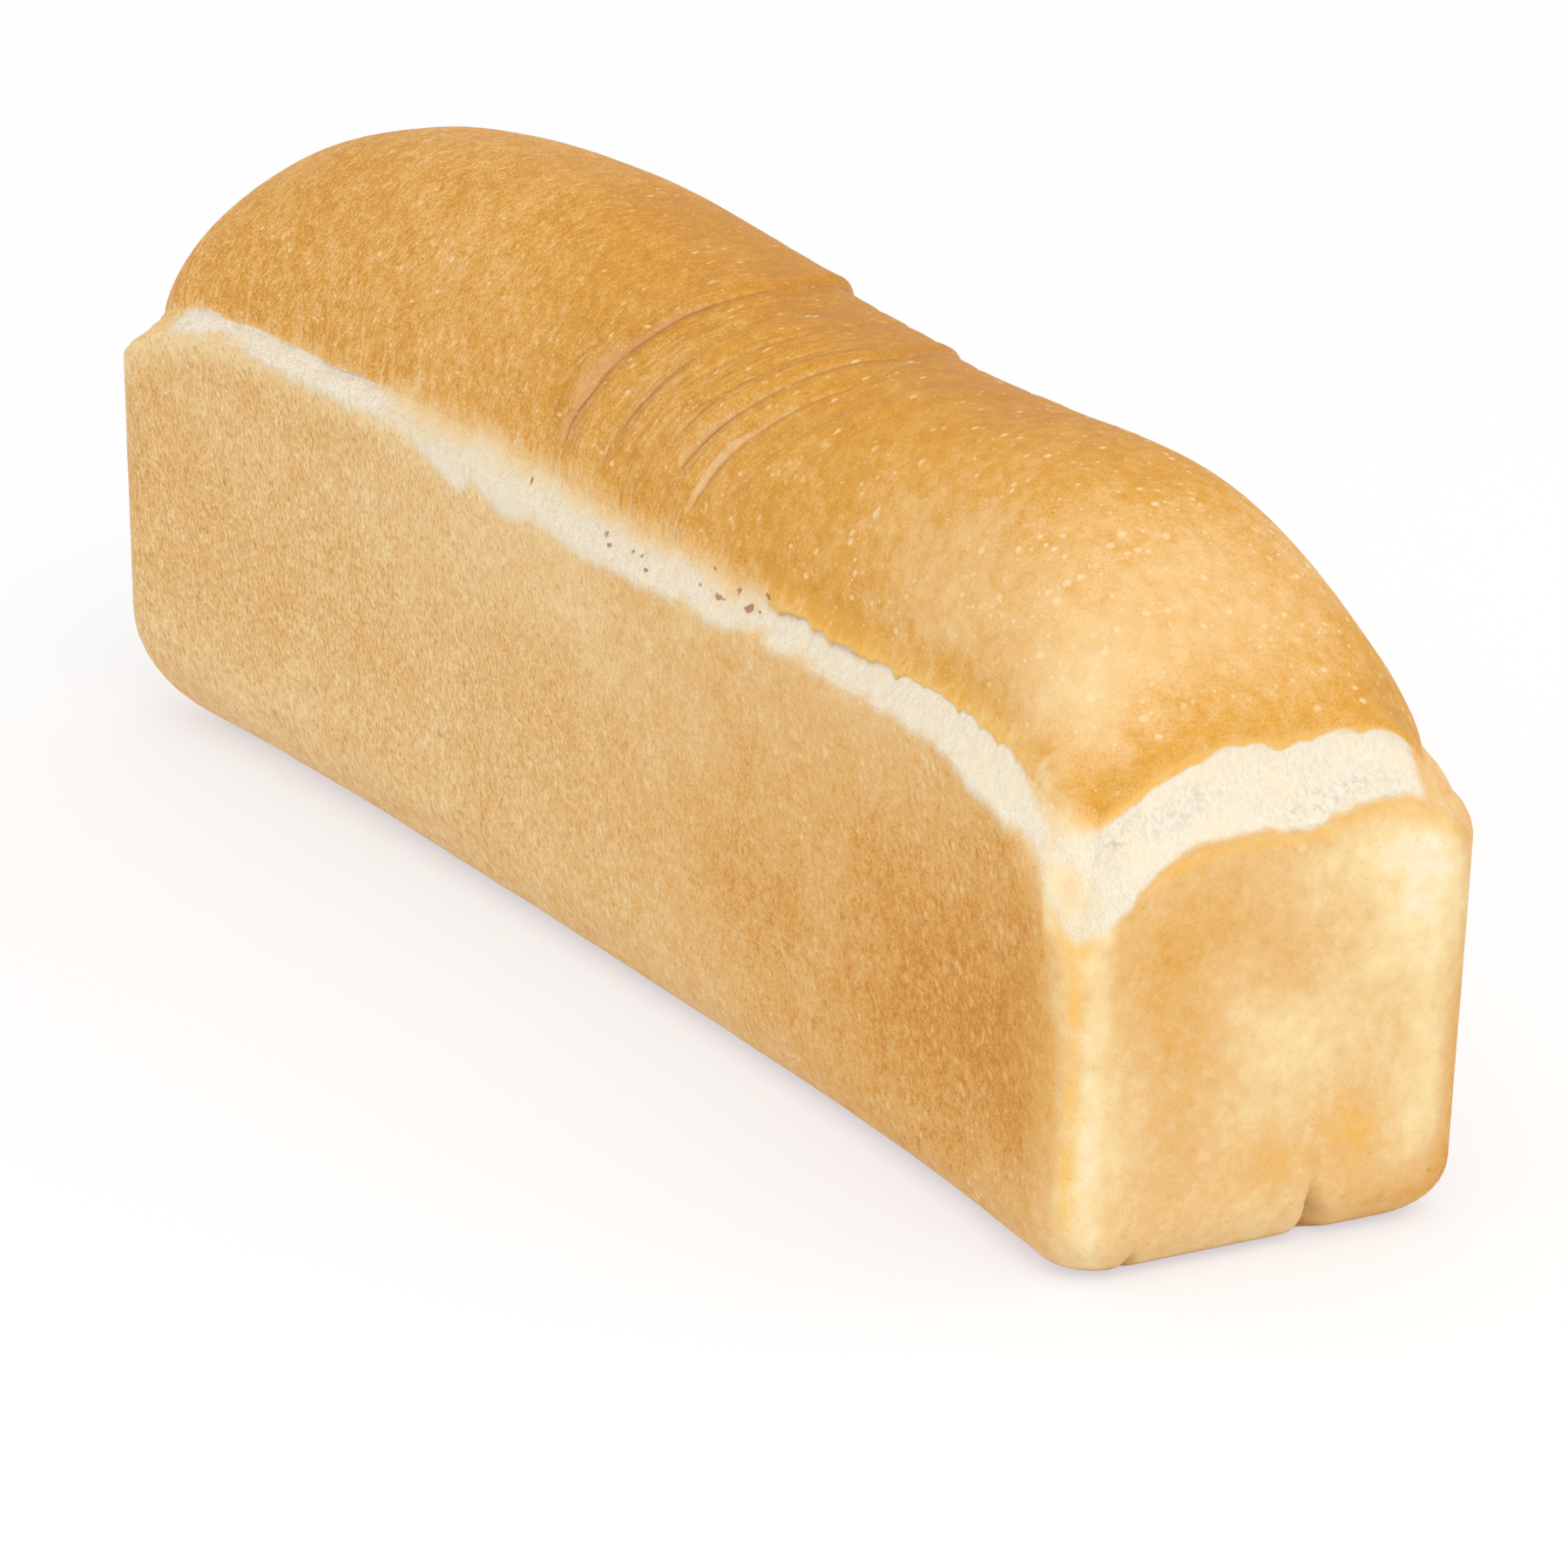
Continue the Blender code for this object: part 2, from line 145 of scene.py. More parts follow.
class TinLoafShape(bpy.types.PropertyGroup):
    """Sizes of the loaf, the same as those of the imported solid."""

    foot_length: length("Foot length", 0.4505, "Length of the foot")
    foot_width: length("Foot width", 0.100, "Width of the foot at the two ends")
    end_splay: FloatProperty(
        name="End splay", description="Lean of the end walls", default=math.radians(2.0), subtype="ANGLE"
    )
    side_splay: FloatProperty(
        name="Side splay", description="Lean of the long walls", default=math.radians(0.32), subtype="ANGLE"
    )
    front_pinch: length("Front pinch", 0.0104, "How far the front wall sinks in at mid length")
    back_pinch: length("Back pinch", 0.0068, "How far the back wall sinks in at mid length")
    corner_a: length("Corner A", 0.0140, "Plan radius of the upright corners at end A")
    corner_b: length("Corner B", 0.0245, "Plan radius of the upright corners at end B")
    foot_a: length("Foot radius A", 0.0121, "Radius of the bottom edge at end A")
    foot_b: length("Foot radius B", 0.0280, "Radius of the bottom edge at end B")
    rim_a: length("Rim A", 0.0970, "Wall height along the half towards end A")
    rim_b: length("Rim B", 0.1055, "Wall height along the half towards end B")
    rim_corner_front: length("Rim corner front", 0.0745, "Wall height at end A's front corner")
    rim_corner_back: length("Rim corner back", 0.0800, "Wall height at end A's back corner")
    rim_corner_b: length("Rim corner B", 0.0880, "Wall height at end B's corners")
    rim_end_a: length("Rim end A", 0.0905, "Wall height at the middle of end A")
    rim_end_b: length("Rim end B", 0.0970, "Wall height at the middle of end B")
    lip_a: length("Lip A", 0.1045, "Height of the crust's edge towards end A")
    lip_b: length("Lip B", 0.1105, "Height of the crust's edge towards end B")
    lip_corner_a: length("Lip corner A", 0.0950, "Height of the crust's edge at end A's corners")
    lip_corner_b: length("Lip corner B", 0.0990, "Height of the crust's edge at end B's corners")
    lip_end_a: length("Lip end A", 0.1095, "Height of the crust's edge at the middle of end A")
    lip_end_b: length("Lip end B", 0.1080, "Height of the crust's edge at the middle of end B")
    band_inset: length("Band inset", 0.0062, "How far the crust's edge stands inside the rim")
    band_hollow: length("Band hollow", 0.0016, "Depth of the hollow between rim and crust")
    crown_waist: length("Crown waist", 0.1504, "Height of the crown between the two humps")
    crown_rise_a: length("Hump A", 0.0177, "Rise of the hump towards end A")
    crown_rise_b: length("Hump B", 0.0144, "Rise of the hump towards end B")
    fold_arc: length("Fold arc", 0.031, "How far a fold runs towards end A between lip and ridge")
    lip_roll: length("Lip roll", 0.0009, "How far the crust's rolled edge stands out over the torn band")
    lip_scallop: length("Lip scallop", 0.0026, "Depth of the scallops along the ragged part of the edge")
    band_swell: length("Band swell", 0.0026, "How far the torn band swells out where it is soft")


class TinLoafColours(bpy.types.PropertyGroup):
    """Colours of the crust, from barely baked to deeply baked, and of the torn crumb."""

    crust_cream: colour("Crust cream", (0.90, 0.80, 0.60), "Crust that has hardly browned")
    crust_straw: colour("Crust straw", (0.86, 0.65, 0.33), "Crust at a tenth of its browning")
    crust_light: colour("Crust light", (0.82, 0.505, 0.20), "Lightly browned crust")
    crust_amber: colour("Crust amber", (0.70, 0.34, 0.048), "Well browned crust")
    crust_deep: colour("Crust deep", (0.56, 0.235, 0.024), "Deeply browned crust")
    wall_cream: colour("Wall cream", (0.90, 0.81, 0.62), "Tin-baked wall that has hardly browned")
    wall_straw: colour("Wall straw", (0.86, 0.665, 0.345), "Pale tin-baked wall")
    wall_tan: colour("Wall tan", (0.76, 0.48, 0.20), "Tin-baked wall of the usual colour")
    wall_gold: colour("Wall gold", (0.70, 0.37, 0.088), "Well baked wall")
    # Painted shade: a darker colour for the walls' slanting strokes, standing in for the shade of their
    # relief.
    wall_stroke_shade: colour("Wall stroke shade", (0.47, 0.27, 0.11), "Dark grains of the tin-baked wall")
    wall_deep: colour("Wall deep", (0.56, 0.213, 0.022), "Deeply baked wall")
    crumb: colour("Crumb", (0.85, 0.77, 0.62), "Torn crumb of the band")
    crumb_fibre: colour("Crumb fibre", (0.77, 0.65, 0.46), "Darker fibres of the torn crumb")
    crumb_white: colour("Crumb white", (0.92, 0.87, 0.77), "White crumb of the rolled part towards end B")
    crumb_cloud: colour("Crumb cloud", (0.87, 0.74, 0.50), "Yellower clouds in the torn crumb")
    # Painted shade: the crumb's colour in the band's grey pits and under the crust's edge.
    crumb_shade: colour("Crumb shade", (0.64, 0.56, 0.49), "Crumb in the band's hollows")
    pit: colour("Pit", (0.40, 0.185, 0.075), "Browned pits in the band")
    pit_halo: colour("Pit halo", (0.72, 0.50, 0.32), "Lightly browned crumb round the pits")
    # Partly the pinkish skin of the folds' rolled edges and partly painted light on them.
    blush: colour("Blush", (0.72, 0.39, 0.20), "Pinkish skin on the folds")
    # Painted shade: dark lines in the folds and in end A's notch and nick, and painted contact shadow where
    # the loaf rests.
    cleft: colour("Cleft", (0.38, 0.160, 0.055), "Dark line at the bottom of a fold")
    blister: colour("Blister", (0.88, 0.70, 0.45), "Tops of the blisters on the crust")
    gilt: colour("Gilt", (0.90, 0.50, 0.095), "Golden line along the crust's clear edges")


class TinLoafStage(bpy.types.PropertyGroup):
    """Floor, light and camera."""

    floor_colour: colour("Floor", (0.457, 0.427, 0.382), "Colour of the floor under the lights")
    floor_glow: colour("Floor glow", (0.495, 0.526, 0.573), "Glow of the floor, which keeps shadows pale")
    sky: FloatProperty(name="Sky", description="Strength of the even light all round", default=1.0, min=0)
    key: FloatProperty(
        name="Key", description="Power of the large soft light", default=7.0, min=0, subtype="POWER"
    )
    lens: FloatProperty(
        name="Lens", description="Focal length", default=152.0, min=1, subtype="DISTANCE_CAMERA"
    )


# ---------------------------------------------------------------- small maths
def mix(a, b, share):
    return a + (b - a) * share


def smooth(value, low, high):
    """0 before low, 1 past high, and an even S between them. low may be the larger one."""
    share = np.clip((value - low) / (high - low), 0.0, 1.0)
    return share * share * (3.0 - 2.0 * share)


def bump_at(value, centre, spread):
    return np.exp(-(((value - centre) / spread) ** 2))


def hashed(ix, iy, iz, seed):
    """An even random number from -1 to 1 for each lattice point."""
    mixed = ix * 374761393 + iy * 668265263 + iz * 1442695041 + seed * 974634777
    mixed = (mixed ^ (mixed >> 13)) & 0xFFFFFFFF
    mixed = (mixed * 1274126177) & 0xFFFFFFFF
    mixed = mixed ^ (mixed >> 16)
    return (mixed & 0xFFFFFF) / float(0xFFFFFF) * 2.0 - 1.0


def noise(points, feature, seed, stretch=(1.0, 1.0, 1.0)):
    """Smooth noise from -1 to 1 whose lumps are about feature metres, times stretch on each axis."""
    place = points / (feature * np.array(stretch))
    cell = np.floor(place).astype(np.int64)
    t = place - cell
    t = t * t * t * (t * (t * 6.0 - 15.0) + 10.0)
    total = np.zeros(points.shape[:-1])
    for corner in range(8):
        step = np.array([corner & 1, corner >> 1 & 1, corner >> 2 & 1])
        weight = np.prod(np.where(step == 1, t, 1.0 - t), axis=-1)
        at = cell + step
        total += weight * hashed(at[..., 0], at[..., 1], at[..., 2], seed)
    return total


def layered(points, feature, seed, layers=3, stretch=(1.0, 1.0, 1.0)):
    """Noise of several sizes, each half the size and half the strength of the one before."""
    total = 0.0
    for layer in range(layers):
        total = total + noise(points, feature / 2**layer, seed + 17 * layer, stretch) / 2**layer
    return total / (2.0 - 0.5 ** (layers - 1))


# ---------------------------------------------------------------- the solid's surface
def dip(distance, span, depth):
    """A drop of the given depth at distance 0, easing out over span."""
    return depth * np.clip(1.0 - distance / span, 0.0, None) ** 2


def end_share(p, u, v):
    """0 on the long sides, 1 on the ends, and a smooth change between them inside."""
    to_side = (1.0 - np.abs(v)) * p.foot_width / 2
    to_end = (1.0 - np.abs(u)) * p.foot_length / 2
    both = to_side + to_end
    return smooth(np.where(both > 0, to_side / np.where(both > 0, both, 1.0), 0.5), 0.0, 1.0)


def long_edge(p, u, level_a, level_b, step, corner_a, corner_b, span):
    """Height of an edge that runs along a long side, with a dip at each corner."""
    half = p.foot_length / 2
    x = u * half
    level = mix(level_b, level_a, smooth(x, step[0], step[1]))
    level = level - dip(half - x, span, level_a - corner_a)
    return level - dip(half + x, span, level_b - corner_b)


def end_edge(p, v, level_front, level_back, corner_front, corner_back, span):
    """Height of an edge that runs across an end."""
    half = p.foot_width / 2
    y = v * half
    level = mix(level_front, level_back, smooth(y, END_LIFT_STEP[0], END_LIFT_STEP[1]))
    level = level - dip(half + y, span, level_front - corner_front)
    return level - dip(half - y, span, level_back - corner_back)


def rim_height(p, u, v):
    corner_a = mix(p.rim_corner_front, p.rim_corner_back, (v + 1.0) / 2.0)
    along = long_edge(p, u, p.rim_a, p.rim_b, RIM_STEP, corner_a, p.rim_corner_b, RIM_DIP_LONG)
    lifted = p.rim_end_a + RIM_END_A_LIFT
    at_a = end_edge(p, v, p.rim_end_a, lifted, p.rim_corner_front, p.rim_corner_back, RIM_DIP_END)
    at_b = end_edge(p, v, p.rim_end_b, p.rim_end_b, p.rim_corner_b, p.rim_corner_b, RIM_DIP_END)
    return mix(along, np.where(u > 0, at_a, at_b), end_share(p, u, v))


def lip_height(p, u, v):
    along = long_edge(p, u, p.lip_a, p.lip_b, LIP_STEP, p.lip_corner_a, p.lip_corner_b, LIP_DIP_LONG)
    at_a = end_edge(p, v, p.lip_end_a, p.lip_end_a, p.lip_corner_a, p.lip_corner_a, LIP_DIP_END)
    at_b = end_edge(p, v, p.lip_end_b, p.lip_end_b, p.lip_corner_b, p.lip_corner_b, LIP_DIP_END)
    return mix(along, np.where(u > 0, at_a, at_b), end_share(p, u, v))


def plan_point(u, v, half_length, half_width, radius):
    """Point (u, v) of the square [-1, 1] x [-1, 1] laid on a rectangle with round corners."""
    x = u * half_length
    y = v * half_width
    corner_x = np.clip((np.abs(x) - (half_length - radius)) / radius, 0.0, None)
    corner_y = np.clip((np.abs(y) - (half_width - radius)) / radius, 0.0, None)
    round_x = half_length - radius + corner_x * np.sqrt(1.0 - corner_y**2 / 2.0) * radius
    round_y = half_width - radius + corner_y * np.sqrt(1.0 - corner_x**2 / 2.0) * radius
    in_corner = (corner_x > 0) & (corner_y > 0)
    x = np.where(in_corner, np.copysign(round_x, u), x)
    return x, np.where(in_corner, np.copysign(round_y, v), y)


def pinched(p, x, y):
    """y with the long sides drawn in towards mid length."""
    bend = np.clip(1.0 - np.abs(x / (p.foot_length / 2)) ** PINCH_POWER, 0.0, None)
    depth = mix(p.front_pinch, p.back_pinch, smooth(y, -p.foot_width / 2, p.foot_width / 2))
    return y * (1.0 - depth * bend / (p.foot_width / 2))


def towards_a(u):
    return (u + 1.0) / 2.0


def skin_at(p, u, v, z, inset, radius):
    """A point on the upright skin at height z, drawn in by inset from the splayed wall."""
    half_length = p.foot_length / 2 - inset + z * math.tan(p.end_splay)
    half_width = p.foot_width / 2 - inset + z * math.tan(p.side_splay)
    x, y = plan_point(u, v, half_length, half_width, radius)
    return np.stack([x, pinched(p, x, y), z + 0.0 * x], axis=-1)


def foot_point(p, u, v, share):
    """A point on the rounded bottom edge: share 0 on the ground, 1 where the wall starts."""
    radius = mix(p.foot_b, p.foot_a, towards_a(u))
    angle = share * math.pi / 2
    inset = radius * (1.0 - np.sin(angle))
    corner = mix(p.corner_b, p.corner_a, towards_a(u)) - inset * FOOT_CORNER_TIGHTENING
    return skin_at(p, u, v, radius * (1.0 - np.cos(angle)), inset, corner)


def wall_point(p, u, v, share):
    """A point on the tin-baked wall: share 0 above the bottom edge, 1 at the rim."""
    z = mix(mix(p.foot_b, p.foot_a, towards_a(u)), rim_height(p, u, v), share)
    return skin_at(p, u, v, z, 0.0, mix(p.corner_b, p.corner_a, towards_a(u)))


def lip_half_sizes(p):
    half_length = p.foot_length / 2 + p.lip_end_a * math.tan(p.end_splay) - p.band_inset
    half_width = p.foot_width / 2 + p.lip_end_a * math.tan(p.side_splay) - p.band_inset
    return half_length, half_width


def band_point(p, u, v, share):
    """A point on the torn band: share 0 at the rim, 1 at the crust's lip."""
    low = wall_point(p, u, v, 1.0)
    radius = mix(p.corner_b, p.corner_a, towards_a(u)) + LIP_CORNER_EXTRA
    half_length, half_width = lip_half_sizes(p)
    x, y = plan_point(u, v, half_length, half_width, radius)
    high = np.stack([x, pinched(p, x, y), lip_height(p, u, v) + 0.0 * x], axis=-1)
    outward = low - high
    outward[..., 2] = 0.0
    outward /= np.linalg.norm(outward, axis=-1, keepdims=True)
    hollow = (p.band_hollow * np.sin(math.pi * share))[..., None]
    return low + (high - low) * np.asarray(share)[..., None] - outward * hollow


def fold_arc(p, v):
    return p.fold_arc * (1.0 - np.abs(v) ** FOLD_ARC_POWER) + FOLD_LEAN * (1.0 - np.abs(v))


def fold_reach(v, first, last):
    """1 where a fold that starts at |v| first and ends at |v| last is at its full depth."""
    beside = np.abs(v)
    return smooth(beside, first, first - 0.02) * smooth(beside, last - 0.08, last + 0.04)


def fold_relief(p, x, v):
    """Height of the folds above the plain dome, for a point across the dome at v."""
    arc = fold_arc(p, v)
    relief = 0.0
    for lip_x, height, riser, first, full in LEDGES:
        ahead = x - (lip_x + arc)
        strength = height * smooth(np.abs(v), first, full)
        swell = np.exp(np.minimum(ahead + riser, 0.0) / LEDGE_RUN)
        recover = np.exp(-np.maximum(ahead, 0.0) / LEDGE_RUN)
        dropped = smooth(ahead, -riser, 0.0)
        relief = relief + strength * mix(LEDGE_ABOVE * swell, (LEDGE_ABOVE - 1.0) * recover, dropped)
    for lip_x, first, last, depth, *_ in FOLD_LINES:
        relief = relief - depth * fold_reach(v, first, last) * bump_at(x, lip_x + arc, CREASE_WIDTH)
    relief = relief * mix(RIDGE_SHARE, 1.0, smooth(np.abs(v), 0.0, RIDGE_SPAN))
    return relief * smooth(np.abs(v), 1.0, FOLDS_FULL)


def dome_point(p, u, v):
    """A point on the domed crust: the lip is at |u| = 1 or |v| = 1."""
    radius = mix(p.corner_b, p.corner_a, towards_a(u)) + LIP_CORNER_EXTRA
    half_length, half_width = lip_half_sizes(p)
    x, y = plan_point(u, v, half_length, half_width, radius)
    y = pinched(p, x, y)
    side = np.clip(1.0 - np.abs(v) ** DOME_SIDE_POWER, 0.0, None) ** (1.0 / DOME_SIDE_ROOT)
    power = np.where(u > 0, DOME_END_A[0], DOME_END_B[0])
    root = np.where(u > 0, DOME_END_A[1], DOME_END_B[1])
    end = np.clip(1.0 - np.abs(u) ** power, 0.0, None) ** (1.0 / root)
    hump_b = p.crown_rise_b * smooth(u, HUMP_B_SPAN[0], HUMP_B_SPAN[1])
    hump_a = p.crown_rise_a * smooth(u, HUMP_A_SPAN[0], HUMP_A_SPAN[1])
    lip = lip_height(p, u, v)
    z = lip + (p.crown_waist + hump_b + hump_a - lip) * side * end
    outward = np.stack([0.0 * y, y, z - FOLD_CENTRE], axis=-1)
    outward /= np.linalg.norm(outward, axis=-1, keepdims=True)
    folds = fold_relief(p, x, v) * end
    return np.stack([x, y, z], axis=-1) + outward * folds[..., None]


# ---------------------------------------------------------------- the whole skin as one set of points
PERIMETER = 2 * (COLUMNS + ROWS)
RIM_RING = FOOT_RINGS + WALL_RINGS
EDGE_RING = RIM_RING + BAND_RINGS
TOP_RING = EDGE_RING + LIP_RINGS
EDGE_RISE = 0.0020                # rise of the crust's rolled edge, from its start to the dome
CORNER_TURN = 0.016               # a corner belongs to side and end alike within this distance of it
EASE_RINGS = 14                   # cells above and below the rim over which a corner's shading turns


def perimeter_index(column, row):
    """Place in the outline of a point on the grid's border, counted round from end B's front corner."""
    if row == 0:
        return column
    if column == COLUMNS:
        return COLUMNS + row
    if row == ROWS:
        return COLUMNS + ROWS + (COLUMNS - column)
    return PERIMETER - row


class Skin:
    """Points, quads and masks of the whole skin. Side rings come first, then the dome's inside points."""

    def __init__(self, p):
        self.p = p
        columns = np.linspace(-1.0, 1.0, COLUMNS + 1)
        columns = columns + COLUMN_GRADE * (1.0 - columns**2)
        even = np.linspace(-1.0, 1.0, ROWS + 1)
        rows = np.sign(even) * (1.0 - (1.0 - np.abs(even)) ** ROW_POWER)
        border_u = np.concatenate([columns[:-1], np.ones(ROWS), columns[:0:-1], -np.ones(ROWS)])
        border_v = np.concatenate([-np.ones(COLUMNS), rows[:-1], np.ones(COLUMNS), rows[:0:-1]])
        foot = np.linspace(0.0, 1.0, FOOT_RINGS + 1)
        wall = np.linspace(0.0, 1.0, WALL_RINGS + 1)
        band = np.linspace(0.0, LIP_SHARE, BAND_RINGS + 1)
        lip = np.linspace(LIP_SHARE, 1.0, LIP_RINGS + 1)
        levels = [(foot_point, share) for share in foot] + [(wall_point, share) for share in wall[1:]]
        levels += [(band_point, share) for share in (*band[1:], *lip[1:])]
        side = np.array([point_at(p, border_u, border_v, s + 0.0 * border_u) for point_at, s in levels])
        inner_u, inner_v = np.meshgrid(columns[1:-1], rows[1:-1], indexing="ij")
        dome = dome_point(p, inner_u, inner_v)
        self.side_count = side.shape[0] * PERIMETER
        self.points = np.concatenate([side.reshape(-1, 3), dome.reshape(-1, 3)])
        self.u = np.concatenate([np.tile(border_u, side.shape[0]), inner_u.ravel()])
        self.v = np.concatenate([np.tile(border_v, side.shape[0]), inner_v.ravel()])
        self.ring = np.concatenate(
            [np.repeat(np.arange(side.shape[0]), PERIMETER), np.full(inner_u.size, TOP_RING + 1)]
        )
        shares = np.concatenate([0.0 * foot, 0.0 * wall[1:], band[1:], lip[1:]])
        self.share = np.concatenate([np.repeat(shares, PERIMETER), np.ones(inner_u.size)])
        self.grid = np.empty((COLUMNS + 1, ROWS + 1), np.int64)
        self.grid[1:-1, 1:-1] = self.side_count + np.arange(inner_u.size).reshape(inner_u.shape)
        border = [(column, row) for column in range(COLUMNS + 1) for row in (0, ROWS)]
        border += [(column, row) for row in range(ROWS + 1) for column in (0, COLUMNS)]
        for column, row in border:
            self.grid[column, row] = TOP_RING * PERIMETER + perimeter_index(column, row)
        middle = (self.points.min(0) + self.points.max(0)) / 2
        middle[2] = 0.0
        self.points -= middle
        self.points *= 1.0 - SKIN_INSET / self.points.max(0)

    def side_quads(self, first_ring, last_ring):
        ring, at = np.meshgrid(np.arange(first_ring, last_ring), np.arange(PERIMETER), indexing="ij")
        after = (at + 1) % PERIMETER
        low = ring * PERIMETER
        high = low + PERIMETER
        return np.stack([low + at, low + after, high + after, high + at], axis=-1).reshape(-1, 4)

    def dome_quads(self):
        g = self.grid
        return np.stack([g[:-1, :-1], g[1:, :-1], g[1:, 1:], g[:-1, 1:]], axis=-1).reshape(-1, 4)

    def cap(self, ring):
        """Strips that close the skin straight across at a ring, and outlines of what they leave open."""
        at = ring * PERIMETER
        strips = []
        for column in range(CAP_END, COLUMNS - CAP_END):
            front = (at + column, at + column + 1)
            back = (at + perimeter_index(column + 1, ROWS), at + perimeter_index(column, ROWS))
            strips.append([*front, *back])
        end_b = [perimeter_index(column, ROWS) for column in range(CAP_END, 0, -1)]
        end_b += [perimeter_index(0, row) for row in range(ROWS, 0, -1)] + list(range(CAP_END + 1))
        end_a = list(range(COLUMNS - CAP_END, COLUMNS + ROWS))
        end_a += [perimeter_index(column, ROWS) for column in range(COLUMNS, COLUMNS - CAP_END - 1, -1)]
        return strips, [[at + place for place in outline] for outline in (end_b, end_a)]

    def normals(self):
        """Even vertex normals over the whole skin, so that shading runs on from piece to piece."""
        quads = np.concatenate([self.side_quads(0, TOP_RING), self.dome_quads()])
        a, b, c, d = (self.points[quads[:, i]] for i in range(4))
        face = np.cross(c - a, d - b)
        total = np.zeros_like(self.points)
        for axis in range(3):
            for corner in range(4):
                total[:, axis] += np.bincount(quads[:, corner], face[:, axis], len(self.points))
        total = total / np.maximum(np.linalg.norm(total, axis=1, keepdims=True), 1e-12)
        side = total[: self.side_count].reshape(-1, PERIMETER, 3)
        rings = slice(RIM_RING - EASE_RINGS, RIM_RING + EASE_RINGS)
        eased = side[rings].copy()
        for _ in range(EASE_RINGS * 4):
            eased[1:-1] = (eased[:-2] + 2.0 * eased[1:-1] + eased[2:]) / 4.0
        at_corner = smooth(np.abs(corner_distance(self)[:PERIMETER]), 0.034, 0.014)[:, None]
        side[rings] = mix(side[rings], eased, at_corner)
        return total / np.maximum(np.linalg.norm(total, axis=1, keepdims=True), 1e-12)


def corner_distance(skin):
    """Distance round the loaf from the nearest upright corner, below zero on the long sides."""
    to_side = (1.0 - np.abs(skin.v)) * skin.p.foot_width / 2
    to_end = (1.0 - np.abs(skin.u)) * skin.p.foot_length / 2
    return to_side - to_end


def facing_end(skin):
    """0 along the long sides and 1 across the ends, turning over smoothly round each upright corner."""
    return smooth(corner_distance(skin), -CORNER_TURN, CORNER_TURN)


def along_border(skin, front, back, end_a, end_b):
    """A value that differs on the four sides of the loaf and changes smoothly at the corners."""
    side = mix(front, back, smooth(skin.v, -0.25, 0.25))
    end = np.where(skin.u > 0, end_a, end_b)
    return mix(side, end, facing_end(skin))


def lift_above_lip(skin):
    """Distance over the skin from the start of the crust's edge, below zero on the band and the wall."""
    grid = skin.points[skin.grid]
    across = np.linalg.norm(np.diff(grid, axis=1), axis=2)
    from_front = np.concatenate([np.zeros((COLUMNS + 1, 1)), np.cumsum(across, axis=1)], axis=1)
    from_back = from_front[:, -1:] - from_front
    along = np.linalg.norm(np.diff(grid, axis=0), axis=2)
    from_b = np.concatenate([np.zeros((1, ROWS + 1)), np.cumsum(along, axis=0)], axis=0)
    from_a = from_b[-1:, :] - from_b
    nearest = np.minimum(np.minimum(from_front, from_back), np.minimum(from_a, from_b))
    lift = np.zeros(len(skin.points))
    lift[skin.grid] = nearest + EDGE_RISE
    side = np.arange(skin.side_count)
    edge = skin.points[EDGE_RING * PERIMETER + side % PERIMETER]
    below = skin.points[side, 2] - edge[:, 2]
    within = (skin.share[side] - LIP_SHARE) / (1.0 - LIP_SHARE) * EDGE_RISE
    lift[side] = np.where(skin.ring[side] >= EDGE_RING, within, below)
    return lift


def height_above_rim(skin):
    """Height above the rim, below zero on the wall."""
    return skin.points[:, 2] - rim_height(skin.p, skin.u, skin.v)


class EdgeStyle:
    """How the crust's edge looks round the loaf: soft and rolled, faded out, ragged or crisp."""

    def __init__(self, skin):
        x = skin.points[:, 0]
        soft_front = smooth(x, -0.080, -0.100)
        ragged_front = smooth(x, 0.078, 0.094) * (1.0 - 0.75 * smooth(x, 0.188, 0.208))
        self.soft = along_border(skin, soft_front, smooth(x, 0.10, 0.13), 0.0, 0.8)
        self.ragged = along_border(skin, ragged_front, smooth(x, -0.03, -0.07), 0.35, 0.2)
        self.crisp = along_border(skin, 0.0, 0.0, 1.0, 0.0)
        self.faded = np.clip(1.0 - self.soft - self.ragged - self.crisp, 0.0, 1.0)


def scallops(p, style, level):
    """How far the crust's edge hangs down where it is ragged, soft or crisp, and its tongues."""
    wide = 1.0 - np.abs(noise(level, 0.0090, 11))
    narrow = 1.0 - np.abs(noise(level, 0.0044, 12))
    tongue = wide**3 * 0.70 + narrow**2 * 0.34
    drop = style.ragged * (tongue - 0.42)
    drop += 0.45 * style.soft * layered(level, 0.014, 13)
    drop += 0.35 * style.crisp * layered(level, 0.010, 14)
    return p.lip_scallop * drop, tongue


def edge_roll(skin, style, level, lift, tongue):
    """How far the crust's edge rolls out over the band and the band's soft part swells."""
    p = skin.p
    end = facing_end(skin)
    straight = 1.0 - 3.6 * end * (1.0 - end)
    soft_roll = 0.36 * style.soft * np.clip(0.5 + 1.2 * layered(level, 0.012, 16, 2), 0.0, 1.4)
    calmer = 1.0 - 0.55 * smooth(skin.points[:, 0], 0.110, 0.150)
    roll = style.ragged * calmer + soft_roll + 0.35 * style.crisp + 0.05 * style.faded
    profile = smooth(lift, 0.0, 0.0009) * (1.0 - smooth(lift, 0.0014, 0.0075))
    tuck = 0.25 * bump_at(lift, 0.0, 0.0006)
    rolled = p.lip_roll * roll * straight * (profile * (0.75 + 0.45 * tongue) - tuck)
    lumpy = 0.80 + 0.45 * layered(level, 0.012, 15, 2)
    swell = style.soft * lumpy + 0.35 * style.ragged + 0.25 * style.faded
    across = np.sin(math.pi * np.clip(skin.share / LIP_SHARE, 0.0, 1.0)) ** 0.8
    on_band = (lift < 0.0) * (skin.ring >= RIM_RING)
    return rolled + p.band_swell * swell * across * on_band


